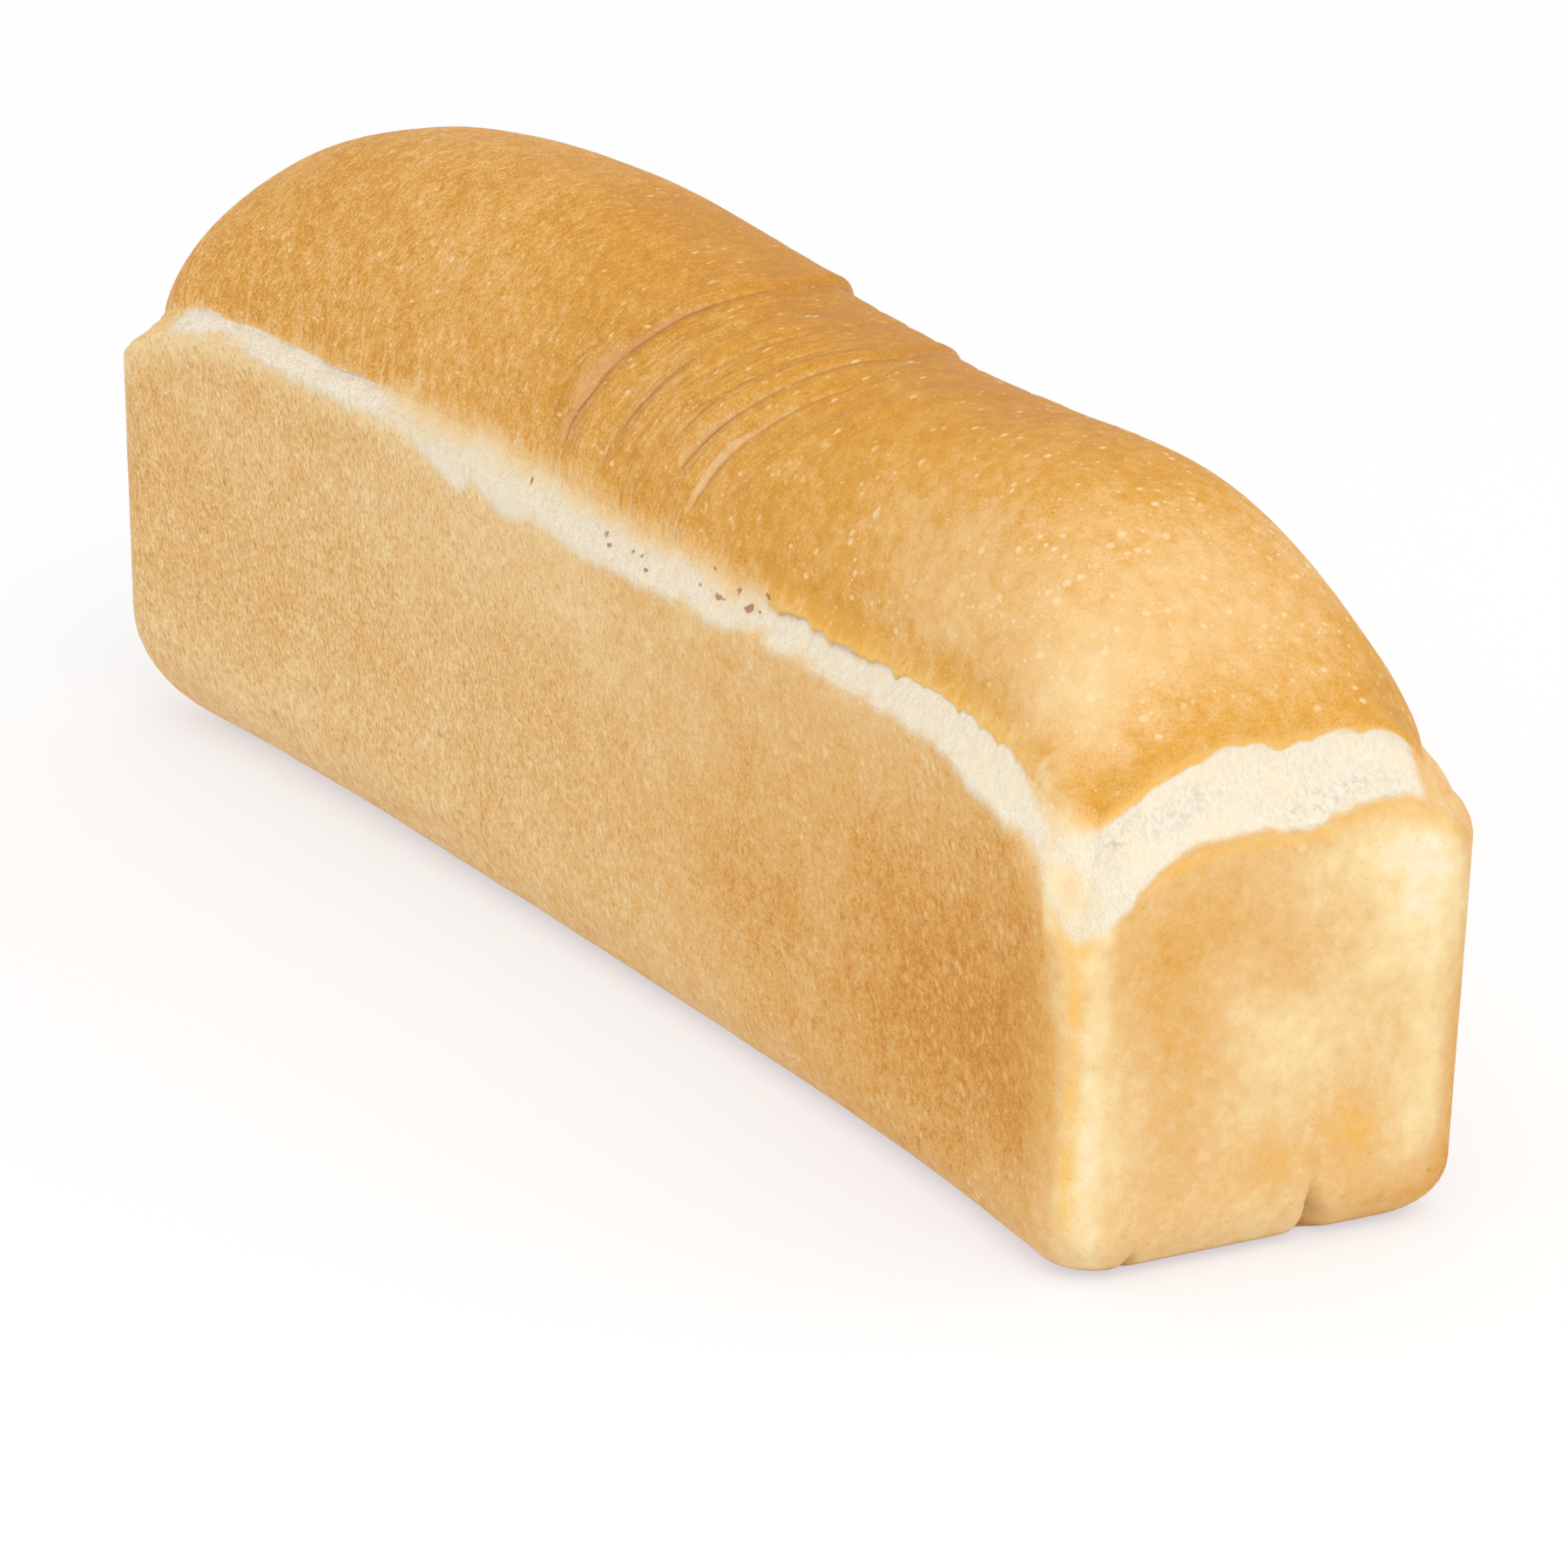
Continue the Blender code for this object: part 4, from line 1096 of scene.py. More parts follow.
def sharpen_caps(mesh, rim):
    """Marks the edges of the flat caps sharp."""
    ends = np.empty(2 * len(mesh.edges), np.int64)
    mesh.edges.foreach_get("vertices", ends)
    on_rim = np.zeros(len(mesh.vertices), bool)
    on_rim[rim] = True
    sharp = mesh.attributes.new("sharp_edge", "BOOLEAN", "EDGE")
    sharp.data.foreach_set("value", on_rim[ends.reshape(-1, 2)].all(axis=1))


def cap_facing(mesh, side_faces):
    """1 for each corner of an upward cap and -1 for each corner of a downward one."""
    facing = []
    for face in mesh.polygons[side_faces:]:
        facing += [math.copysign(1.0, face.normal.z)] * face.loop_total
    return facing


def make_piece(name, quads, caps, material, skin, masks):
    """One closed mesh from some of the skin's quads and flat caps, with the masks as attributes."""
    used = np.unique(quads)
    renumber = np.full(len(skin.points), -1, np.int64)
    renumber[used] = np.arange(len(used))
    faces = renumber[quads].tolist()
    places = skin.points[used].tolist()
    rim = set()
    for ring, facing_up in caps:
        strips, outlines = skin.cap(ring)
        closing = renumber[np.array(strips)].tolist()
        for outline in outlines:
            around = renumber[outline].tolist()
            rim.update(around)
            hub = len(places)
            places.append(skin.points[outline].mean(axis=0).tolist())
            closing += [[first, second, hub] for first, second in zip(around, around[1:] + around[:1])]
        rim.update(renumber[np.array(strips)].ravel().tolist())
        faces += closing if facing_up else [face[::-1] for face in closing]
    mesh = bpy.data.meshes.new(name)
    mesh.from_pydata(places, [], faces)
    mesh.validate()
    mesh.shade_smooth()
    for mask in masks:
        values = np.zeros(len(places), np.float32)
        values[: len(used)] = masks[mask][used]
        layer = mesh.attributes.new(mask, "FLOAT", "POINT")
        layer.data.foreach_set("value", values)
    sharpen_caps(mesh, sorted(rim))
    side_loops = 4 * len(quads)
    corners = np.empty(len(mesh.loops), np.int64)
    mesh.loops.foreach_get("vertex_index", corners)
    normals = np.zeros((len(mesh.loops), 3))
    normals[:side_loops] = skin.normals()[used][corners[:side_loops]]
    normals[side_loops:, 2] = cap_facing(mesh, len(quads))
    mesh.normals_split_custom_set(normals.tolist())
    mesh.materials.append(material)
    piece = bpy.data.objects.new(name, mesh)
    bpy.context.scene.collection.objects.link(piece)
    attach(piece, BODY)
    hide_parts(NODE)
    return piece


# ---------------------------------------------------------------- node building
class Value:
    """A number that changes over a surface. Ordinary operators join such numbers with maths nodes."""

    def __init__(self, tree, socket):
        self.tree = tree
        self.socket = socket

    def __add__(self, other):
        return self.tree.math("ADD", self, other)

    def __sub__(self, other):
        return self.tree.math("SUBTRACT", self, other)

    def __mul__(self, other):
        return self.tree.math("MULTIPLY", self, other)

    def __truediv__(self, other):
        return self.tree.math("DIVIDE", self, other)

    def __abs__(self):
        return self.tree.math("ABSOLUTE", self)

    def larger(self, other):
        return self.tree.math("MAXIMUM", self, other)


class Tree:
    """Short ways to add and join nodes in one node tree."""

    def __init__(self, tree):
        self.tree = tree

    def add(self, kind, inputs=None, **settings):
        node = self.tree.nodes.new(kind)
        for name, value in settings.items():
            setattr(node, name, value)
        for key, value in (inputs or {}).items():
            self.put(node.inputs[key], value)
        return node

    def put(self, socket, value):
        """Links a socket to a value or another socket, or sets it to a plain number, vector or colour."""
        if isinstance(value, Value):
            value = value.socket
        if isinstance(value, bpy.types.NodeSocket):
            self.tree.links.new(value, socket)
        elif socket.type == "RGBA":
            socket.default_value = (*value[:3], 1.0)
        else:
            socket.default_value = value

    def math(self, operation, *values, clamp=False):
        node = self.add("ShaderNodeMath", dict(enumerate(values)), operation=operation, use_clamp=clamp)
        return Value(self, node.outputs[0])

    def use(self, group, inputs):
        return Value(self, self.add("ShaderNodeGroup", inputs, node_tree=group).outputs[0])

    def blend(self, share, a, b):
        """Colour a at share 0 and b at share 1."""
        return self.add("ShaderNodeMix", {0: share, 6: a, 7: b}, data_type="RGBA").outputs[2]

    def between(self, share, a, b):
        """Number a at share 0 and b at share 1."""
        return Value(self, self.add("ShaderNodeMix", {0: share, 2: a, 3: b}).outputs[0])

    def ramp(self, value, low, high, at_low, at_high):
        """at_low up to low, at_high from high on, and a straight change between them."""
        inputs = dict(enumerate((value, low, high, at_low, at_high)))
        return Value(self, self.add("ShaderNodeMapRange", inputs).outputs[0])

    def ease(self, value, low, high):
        """0 up to low, 1 from high on, and an even S between them."""
        inputs = dict(enumerate((value, low, high)))
        node = self.add("ShaderNodeMapRange", inputs, interpolation_type="SMOOTHSTEP")
        return Value(self, node.outputs[0])

    def noise(self, place, scale, detail=2.0, roughness=0.5):
        """Noise from 0 to 1 with about scale lumps in a metre."""
        inputs = {"Vector": place, "Scale": scale, "Detail": detail, "Roughness": roughness}
        return Value(self, self.add("ShaderNodeTexNoise", inputs).outputs["Fac"])

    def mask(self, name):
        return Value(self, self.add("ShaderNodeAttribute", attribute_name=name).outputs["Fac"])

    def axes(self, vector):
        return [Value(self, axis) for axis in self.add("ShaderNodeSeparateXYZ", {0: vector}).outputs[:3]]

    def vector(self, x, y, z):
        return self.add("ShaderNodeCombineXYZ", {0: x, 1: y, 2: z}).outputs[0]


def centred(noise_value):
    """Noise from 0 to 1, moved to lie round 0."""
    return noise_value - 0.5


FLOAT, COLOUR, VECTOR = "NodeSocketFloat", "NodeSocketColor", "NodeSocketVector"


def new_group(name, inputs, outputs):
    """An empty shader node group. inputs holds (name, socket type, default) and outputs (name, type)."""
    group = bpy.data.node_groups.new(name, "ShaderNodeTree")
    for label, kind, default in inputs:
        socket = group.interface.new_socket(label, in_out="INPUT", socket_type=kind)
        if default is not None:
            socket.default_value = (*default, 1.0) if kind == COLOUR else default
    for label, kind in outputs:
        group.interface.new_socket(label, in_out="OUTPUT", socket_type=kind)
    tree = Tree(group)
    sources = tree.add("NodeGroupInput").outputs
    given = {label: Value(tree, sources[label]) for label, _, _ in inputs}
    return group, tree, given, tree.add("NodeGroupOutput").inputs


STOPS = ("Cream", "Straw", "Light", "Amber", "Deep")


def browning_group():
    """Colour of dough by how far it has baked: 0 is hardly browned and 1 is deeply browned."""
    name = "Browning"
    if name in bpy.data.node_groups:
        return bpy.data.node_groups[name]
    sockets = [("Bake", FLOAT, 0.5)] + [(stop, COLOUR, (0.8, 0.5, 0.2)) for stop in STOPS]
    group, tree, given, out = new_group(name, sockets, [("Color", COLOUR)])
    colour_now = given[STOPS[0]]
    width = 1.0 / (len(STOPS) - 1)
    for place, stop in enumerate(STOPS[1:]):
        share = tree.ramp(given["Bake"], place * width, (place + 1) * width, 0.0, 1.0)
        colour_now = tree.blend(share, colour_now, given[stop])
    tree.put(out["Color"], colour_now)
    return group


def flecks_group():
    """Small round spots: a mask that is 1 inside a spot. Spacing is in spots per metre."""
    name = "Flecks"
    if name in bpy.data.node_groups:
        return bpy.data.node_groups[name]
    sockets = [
        ("Place", VECTOR, None),
        ("Spots per metre", FLOAT, 200.0),
        ("Size", FLOAT, 0.25),
        ("Share of cells", FLOAT, 0.5),
    ]
    group, tree, given, out = new_group(name, sockets, [("Mask", FLOAT)])
    cells = tree.add("ShaderNodeTexVoronoi", {"Vector": given["Place"], "Scale": given["Spots per metre"]})
    chances = tree.add("ShaderNodeSeparateColor", {0: cells.outputs["Color"]}).outputs
    size = given["Size"] * (Value(tree, chances[1]) + 0.35)
    edge = Value(tree, cells.outputs["Distance"]) / size
    kept = tree.math("LESS_THAN", chances[0], given["Share of cells"])
    tree.put(out["Mask"], tree.ease(edge, 1.15, 0.45) * kept)
    return group


def stretched_group():
    """A place squeezed along its axes, so that the noise read there is drawn out along them."""
    name = "Stretched place"
    if name in bpy.data.node_groups:
        return bpy.data.node_groups[name]
    sockets = [
        ("Place", VECTOR, None),
        ("Lean", FLOAT, 0.0),
        ("Squeeze Y", FLOAT, 1.0),
        ("Squeeze Z", FLOAT, 1.0),
    ]
    group, tree, given, out = new_group(name, sockets, [("Place", VECTOR)])
    x, y, z = tree.axes(given["Place"])
    lean = z * given["Lean"]
    tree.put(out["Place"], tree.vector(x + lean, (y + lean) * given["Squeeze Y"], z * given["Squeeze Z"]))
    return group


def flecks(tree, place, spots_per_metre, size, share_of_cells):
    inputs = {"Place": place, "Spots per metre": spots_per_metre, "Size": size}
    return tree.use(flecks_group(), {**inputs, "Share of cells": share_of_cells})


def stretched(tree, place, lean, squeeze_y, squeeze_z):
    inputs = {"Place": place, "Lean": lean, "Squeeze Y": squeeze_y, "Squeeze Z": squeeze_z}
    return tree.use(stretched_group(), inputs)


# ---------------------------------------------------------------- the skin's colours and fine height
# Three of these masks carry painted shade: the band's grey pits, the shade under the crust's edge and the
# dark lines of the folds, notch and base. The pinkish one is partly painted light.
MASKS = ("Bake", "Torn", "Crust", "Pit", "Hollow", "Shade", "Blush", "Cleft", "Gilt", "Fold X")
SPECK_COLOUR = (0.16, 0.08, 0.04)
CRUST_ROUGHNESS = 0.52
CRUMB_ROUGHNESS = 0.85
SKIN_SPECULAR = 0.14
BUMP_DISTANCE = 0.0005
SKIN_BUMP = 0.75                  # strength of the fine height on the skin
BLISTER_BUMP = 0.5                # the same on the blisters
WALL_STOPS = ("wall_cream", "wall_straw", "wall_tan", "wall_gold", "wall_deep")
CRUST_STOPS = ("crust_cream", "crust_straw", "crust_light", "crust_amber", "crust_deep")
# Stretches of x over which the texture changes.
TO_GRAINS = (-0.08, 0.13)         # the walls' long strokes give way to short grains
DOTS_GROW = (0.06, 0.17)          # the walls' pale dots and blotches get stronger
STREAKS_FADE = (0.06, 0.13)       # the dome's streaks fade out towards hump A
ONTO_END_A = (0.195, 0.222)       # the walls' texture weakens onto end A


def wall_texture(tree, place, x, grain):
    """Slanting strokes of the tin-baked walls, and how the strokes, grains and dots shift the baking."""
    strokes_noise = tree.noise(stretched(tree, place, 0.36, 1.0, 0.36), 1250.0, 2.0, 0.65)
    stubby = stretched(tree, place, 0.20, 1.0, 0.95)
    dots = flecks(tree, stubby, 360.0, 0.36, 0.75)
    blotches = tree.ease(tree.noise(stubby, 430.0, 2.0, 0.6), 0.52, 0.76)
    shift = centred(strokes_noise) * tree.ramp(x, *TO_GRAINS, 0.95, 0.16)
    shift += centred(grain) * tree.ramp(x, -0.02, 0.12, 0.75, 0.50)
    shift += centred(tree.noise(stubby, 680.0, 2.0, 0.6)) * tree.ramp(x, *TO_GRAINS, 0.10, 0.32)
    shift += dots * tree.ramp(x, *DOTS_GROW, -0.05, -0.13)
    shift += blotches * tree.ramp(x, *DOTS_GROW, 0.04, 0.10)
    return strokes_noise, shift * tree.ramp(x, *ONTO_END_A, 1.55, 0.55)


def crust_texture(tree, place, x, folded, drawn, grain):
    """Streaks that follow the folds over the dome, its dots, and how they all shift the baking."""
    streaks = tree.noise(stretched(tree, folded, 0.0, 0.34, 0.34), 1200.0, 2.0, 0.65)
    long_dots = flecks(tree, stretched(tree, folded, 0.0, 0.45, 0.45), 400.0, 0.24, 0.60)
    round_dots = flecks(tree, place, 330.0, 0.24, 0.40)
    shift = (centred(streaks) * drawn + centred(grain) * 0.80) * tree.ramp(x, -0.15, 0.14, 1.65, 0.65)
    shift += long_dots * drawn * -0.34
    return streaks, long_dots, round_dots, shift + round_dots * -0.20


def fold_lines(tree, folded, given, on_dome):
    """Painted shade of the folds: a thin dark line, soft painted shade beside it and fine dark lines combed
    round it; the soft part also darkens the base and end A's notch.
    """
    fold_x = given["Fold X"]
    thin = 0.0
    for lip_x, *_ in FOLD_LINES:
        thin = tree.ease(abs(fold_x - lip_x), 0.0007, 0.0001).larger(thin)
    combed = tree.noise(stretched(tree, folded, 0.0, 0.05, 0.05), 240.0, 2.0, 0.5)
    around_waist = tree.ease(abs(fold_x - WAIST_FOLDS[0]), WAIST_FOLDS[1], 0.0)
    line = tree.ease(abs(centred(combed)), 0.030, 0.004) * around_waist * on_dome
    soft = given["Cleft"] * 0.30 + line * 0.34
    return tree.math("MULTIPLY_ADD", thin * given["Cleft"], 0.54, soft, clamp=True)


def baked_colour(tree, colours, given, bake, strokes_noise, x):
    """The browned walls and crust, with painted shade darkening the walls' strokes, before folds and golden
    lines.
    """
    browned = []
    for names in (WALL_STOPS, CRUST_STOPS):
        shades = {stop: getattr(colours, name) for stop, name in zip(STOPS, names)}
        browned.append(tree.use(browning_group(), {"Bake": bake, **shades}))
    # Painted shade in the walls' strokes, strongest towards end B.
    stroke_shade = tree.ease(strokes_noise, 0.52, 0.72) * tree.ramp(x, -0.05, 0.14, 0.66, 0.03)
    wall = tree.blend(stroke_shade, browned[0], colours.wall_stroke_shade)
    return tree.blend(given["Crust"], wall, browned[1])


def crumb_colour(tree, colours, given, place, x, fibre, strand, roped):
    """Torn crumb: upright fibres and yellower clouds, painted shade in the pits' hollows and under the
    crust's edge, and browner round pits.
    """
    cloud = tree.noise(place, 130.0, 3.0, 0.6)
    dark_fibre = tree.ease(fibre, 0.60, 0.34) * (roped * 0.7 + 0.3)
    dark_fibre = dark_fibre.larger(tree.ease(strand, 0.47, 0.32) * roped)
    crumb = tree.blend(tree.ramp(x, -0.06, -0.10, 0.0, 0.65), colours.crumb, colours.crumb_white)
    crumb = tree.blend(dark_fibre, crumb, colours.crumb_fibre)
    crumb = tree.blend(tree.ease(cloud, 0.46, 0.68) * 0.5, crumb, colours.crumb_cloud)
    # Painted shade in the grey pits' bubbles and under the crust's edge.
    bubbles = tree.ease(tree.noise(place, 820.0, 2.0, 0.6), 0.42, 0.66)
    shaded = (bubbles * given["Hollow"] * 0.80).larger(given["Shade"] * 0.75)
    crumb = tree.blend(shaded, crumb, colours.crumb_shade)
    halo = tree.ease(given["Pit"], 0.35, 1.30) * tree.ease(strand, 0.36, 0.60)
    return tree.blend(halo * 0.45, crumb, colours.pit_halo)


def skin_group(colours):
    """Colour, roughness and fine height of the whole skin, from its masks and its place."""
    name = "Loaf skin"
    if name in bpy.data.node_groups:
        return bpy.data.node_groups[name]
    sockets = [("Place", VECTOR, None)] + [(mask, FLOAT, 0.0) for mask in MASKS]
    outputs = [("Color", COLOUR), ("Roughness", FLOAT), ("Height", FLOAT)]
    group, tree, given, out = new_group(name, sockets, outputs)
    place = given["Place"]
    x, y, z = tree.axes(place)
    folded = tree.vector(given["Fold X"], y, z)
    drawn = tree.ramp(x, *STREAKS_FADE, 0.45, 0.06)
    grain = tree.noise(place, 1700.0, 2.0, 0.7)
    mottle = tree.noise(place, 230.0, 3.0, 0.6)
    patches = tree.noise(place, 46.0, 3.0, 0.55)
    clots = tree.noise(place, 330.0, 2.0, 0.6)
    on_dome = tree.ease(given["Crust"], 0.62, 1.0)

    # How baked each place is, with its fine texture.
    strokes_noise, wall_shift = wall_texture(tree, place, x, grain)
    streaks, long_dots, round_dots, crust_shift = crust_texture(tree, place, x, folded, drawn, grain)
    shift = tree.between(on_dome, wall_shift, crust_shift) + centred(clots) * 0.30 * on_dome
    bake = given["Bake"] + shift * tree.ease(given["Bake"], 0.22, 0.70)
    bake = bake + centred(mottle) * 0.40 + centred(patches) * 0.18
    baked = baked_colour(tree, colours, given, bake, strokes_noise, x)

    # Pinkish strips, partly painted light, dark lines of painted shade and golden lines on it.
    blushed = given["Blush"] * tree.ease(tree.noise(place, 950.0, 2.0, 0.7), 0.36, 0.60)
    baked = tree.blend(blushed * 0.95, baked, colours.blush)
    baked = tree.blend(fold_lines(tree, folded, given, on_dome), baked, colours.cleft)
    gilded = given["Gilt"] * tree.ease(mottle, 0.18, 0.52)
    baked = tree.blend(gilded * 0.75, baked, colours.gilt)

    # Torn crumb, whose edge its own fibres and small blotches break up.
    fibre_place = stretched(tree, place, 0.16, 1.0, 0.30)
    fibre = tree.noise(fibre_place, 1900.0, 2.0, 0.65)
    strand = tree.noise(fibre_place, 620.0, 1.0, 0.5)
    roped = tree.ramp(x, -0.07, 0.20, 1.0, 0.45)
    crumb = crumb_colour(tree, colours, given, place, x, fibre, strand, roped)
    torn = given["Torn"]
    ragged = tree.ease(torn + centred(fibre) * 0.14 + centred(mottle) * 0.60, 0.10, 0.90)
    ragged = ragged * tree.ease(torn, 0.02, 0.14)
    surface = tree.blend(ragged, baked, crumb)

    # Browned pits, and a few dark specks everywhere.
    pit_noise = tree.noise(stretched(tree, place, 0.2, 1.0, 0.42), 620.0, 2.0, 0.6)
    pit_level = (given["Pit"] - 1.0) * 0.34 + pit_noise
    surface = tree.blend(tree.ease(pit_level, 0.53, 0.64) * 0.85, surface, colours.pit)
    surface = tree.blend(flecks(tree, place, 34.0, 0.014, 0.20) * 0.75, surface, SPECK_COLOUR)
    tree.put(out["Color"], surface)
    tree.put(out["Roughness"], tree.between(ragged, CRUST_ROUGHNESS, CRUMB_ROUGHNESS))

    texture = tree.between(on_dome, strokes_noise, tree.between(drawn, grain, streaks))
    height = grain * 0.45 + mottle * 0.55 + texture * 0.7 + fibre * ragged * 0.6
    height = height + strand * ragged * roped * 2.0 + long_dots * 0.25 + round_dots * 0.35
    tree.put(out["Height"], height)
    return group


def skin_material(name, colours, bump_strength, paler_peaks=0.0):
    """One finish of the skin. All share their colours, so that no seam shows between the pieces."""
    material = bpy.data.materials.new(name)
    material.use_nodes = True
    tree = Tree(material.node_tree)
    shader = material.node_tree.nodes["Principled BSDF"]
    place = tree.add("ShaderNodeTexCoord").outputs["Object"]
    masks = {mask: tree.mask(mask.lower().replace(" ", "_")) for mask in MASKS}
    skin = tree.add("ShaderNodeGroup", {"Place": place, **masks}, node_tree=skin_group(colours))
    surface = skin.outputs["Color"]
    if paler_peaks:
        lumpy = centred(tree.noise(place, 900.0, 1.0, 0.5)) * 0.4
        peak = tree.ease(tree.mask("peak") + lumpy, 0.64, 1.06)
        surface = tree.blend(peak * paler_peaks, surface, colours.blister)
    bump = tree.add(
        "ShaderNodeBump",
        {"Height": skin.outputs["Height"], "Distance": BUMP_DISTANCE, "Strength": bump_strength},
    )
    tree.put(shader.inputs["Base Color"], surface)
    tree.put(shader.inputs["Roughness"], skin.outputs["Roughness"])
    tree.put(shader.inputs["Normal"], bump.outputs["Normal"])
    shader.inputs["Specular IOR Level"].default_value = SKIN_SPECULAR
    return material


# ---------------------------------------------------------------- blisters on the crust
SUNK = 0.62                       # share of a blister's ball that lies under the crust's surface
PALER_PEAKS = 0.68                # how much of a blister's own colour shows on its top
FLATNESS = 0.22                   # a blister's height as a share of its width
SMALL_ONES = 2.6                  # power that makes small blisters commoner than large ones
FOLD_SLANT = -18.0                # how fast the blisters' long axis turns with y, to follow the folds


def blister_tree(material):
    """Geometry nodes that scatter low lens-shaped blisters over a crust, drawn out across the loaf."""
    group = bpy.data.node_groups.new("Crust blisters", "GeometryNodeTree")
    group.interface.new_socket("Crust", in_out="INPUT", socket_type="NodeSocketGeometry")
    for label, kind, default in (
        ("Most per square metre", FLOAT, 20000.0),
        ("Smallest", FLOAT, 0.00045),
        ("Largest", FLOAT, 0.00155),
        ("Seed", "NodeSocketInt", 3),
    ):
        group.interface.new_socket(label, in_out="INPUT", socket_type=kind).default_value = default
    group.interface.new_socket("Blisters", in_out="OUTPUT", socket_type="NodeSocketGeometry")
    tree = Tree(group)
    given = tree.add("NodeGroupInput").outputs

    # Points on the crust, as dense as its mask says.
    mask = tree.add("GeometryNodeInputNamedAttribute", {"Name": "blisters"}, data_type="FLOAT").outputs[0]
    density = tree.math("MULTIPLY", mask, given["Most per square metre"])
    spread = tree.add(
        "GeometryNodeDistributePointsOnFaces",
        {"Mesh": given["Crust"], "Density": density, "Seed": given["Seed"]},
    )

    # One ball, sunk so that only its top stands out, which remembers how high each point is.
    ball = tree.add("GeometryNodeMeshUVSphere", {"Segments": 8, "Rings": 6, "Radius": 1.0}).outputs["Mesh"]
    rise = tree.axes(tree.add("GeometryNodeInputPosition").outputs[0])[2]
    stored = {"Geometry": ball, "Name": "peak", "Value": rise}
    marked = tree.add("GeometryNodeStoreNamedAttribute", stored, data_type="FLOAT").outputs[0]
    lens = tree.add("GeometryNodeSetPosition", {"Geometry": marked, "Offset": (0.0, 0.0, -SUNK)}).outputs[0]

    # Size, stretch and turn of each blister.
    evenly = {"Min": 0.0, "Max": 1.0, "Seed": given["Seed"]}
    chance = tree.add("FunctionNodeRandomValue", evenly, data_type="FLOAT").outputs[1]
    x, y, _ = tree.axes(tree.add("GeometryNodeInputPosition").outputs[0])
    largest = tree.ramp(x, 0.04, 0.14, 0.60, 1.0) * given["Largest"]
    size = tree.between(tree.math("POWER", chance, SMALL_ONES), given["Smallest"], largest)
    scale = tree.vector(size, size * tree.ramp(x, 0.02, 0.14, 2.2, 1.15), size * FLATNESS)
    turn = tree.add(
        "FunctionNodeAxesToRotation",
        {0: spread.outputs["Normal"], 1: tree.vector(y * FOLD_SLANT, 1.0, 0.0)},
        primary_axis="Z",
        secondary_axis="Y",
    ).outputs[0]
    placed = tree.add(
        "GeometryNodeInstanceOnPoints",
        {"Points": spread.outputs["Points"], "Instance": lens, "Rotation": turn, "Scale": scale},
    ).outputs[0]
    real = tree.add("GeometryNodeRealizeInstances", {0: placed}).outputs[0]
    smoothed = tree.add("GeometryNodeSetShadeSmooth", {0: real}).outputs[0]
    finished = tree.add("GeometryNodeSetMaterial", {"Geometry": smoothed, "Material": material}).outputs[0]
    tree.put(tree.add("NodeGroupOutput").inputs[0], finished)
    return group


def plain_from_nodes(source, group, name, values):
    """Runs a geometry node tree on a copy of source and returns its result as a plain mesh object."""
    carrier = bpy.data.objects.new(name + "_carrier", source.data)
    bpy.context.scene.collection.objects.link(carrier)
    modifier = carrier.modifiers.new("nodes", "NODES")
    modifier.node_group = group
    for item in group.interface.items_tree:
        if item.item_type == "SOCKET" and item.in_out == "INPUT" and item.name in values:
            modifier[item.identifier] = values[item.name]
    graph = bpy.context.evaluated_depsgraph_get()
    mesh = bpy.data.meshes.new_from_object(carrier.evaluated_get(graph), depsgraph=graph)
    bpy.data.objects.remove(carrier)
    mesh.name = name
    piece = bpy.data.objects.new(name, mesh)
    bpy.context.scene.collection.objects.link(piece)
    return piece


# ---------------------------------------------------------------- stage and operators
# The camera: the point it looks at, how far it is from there, its direction and its roll.
CAMERA_TARGET = Vector((0.030875, 0.0, 0.04351))
CAMERA_DISTANCE = 1.45381
CAMERA_AZIMUTH = math.radians(59.947)
CAMERA_ELEVATION = math.radians(17.5615)
CAMERA_ROLL = math.radians(0.842)
SENSOR_WIDTH = 36.0
FAR_CLIP = 60.0
FLOOR_HALF = 8.0                  # half the floor's side
LIGHT_AIM = (0.0, 0.0, 0.08)
# Soft lights: name, place, side of the square and share of the key light's power.
LIGHTS = (
    ("key_light", (1.30, -0.35, 1.15), 1.1, 1.0),
    ("rim_light", (0.2, 1.5, 1.1), 1.2, 0.05),
)


class LOAF_OT_tin_walls(bpy.types.Operator):
    """Build the tin-baked walls, the rounded foot and the flat base"""

    bl_idname = "loaf.tin_walls"
    bl_label = "Tin-baked walls"

    def execute(self, context):
        skin, masks = whole_skin(context.scene.tin_loaf_shape)
        material = skin_material("tin_baked_wall", context.scene.tin_loaf_colours, SKIN_BUMP)
        caps = ((0, False), (RIM_RING, True))
        make_piece("tin_baked_walls", skin.side_quads(0, RIM_RING), caps, material, skin, masks)
        return {"FINISHED"}


class LOAF_OT_torn_band(bpy.types.Operator):
    """Build the pale torn band of crumb between the walls and the crust"""

    bl_idname = "loaf.torn_band"
    bl_label = "Torn band"

    def execute(self, context):
        skin, masks = whole_skin(context.scene.tin_loaf_shape)
        material = skin_material("torn_crumb", context.scene.tin_loaf_colours, SKIN_BUMP)
        caps = ((RIM_RING, False), (EDGE_RING, True))
        make_piece("torn_band", skin.side_quads(RIM_RING, EDGE_RING), caps, material, skin, masks)
        return {"FINISHED"}


class LOAF_OT_domed_crust(bpy.types.Operator):
    """Build the domed crust with its rolled edge and its folds"""

    bl_idname = "loaf.domed_crust"
    bl_label = "Domed crust"

    def execute(self, context):
        skin, masks = whole_skin(context.scene.tin_loaf_shape)
        material = skin_material("golden_crust", context.scene.tin_loaf_colours, SKIN_BUMP)
        quads = np.concatenate([skin.side_quads(EDGE_RING, TOP_RING), skin.dome_quads()])
        make_piece("domed_crust", quads, ((EDGE_RING, False),), material, skin, masks)
        return {"FINISHED"}


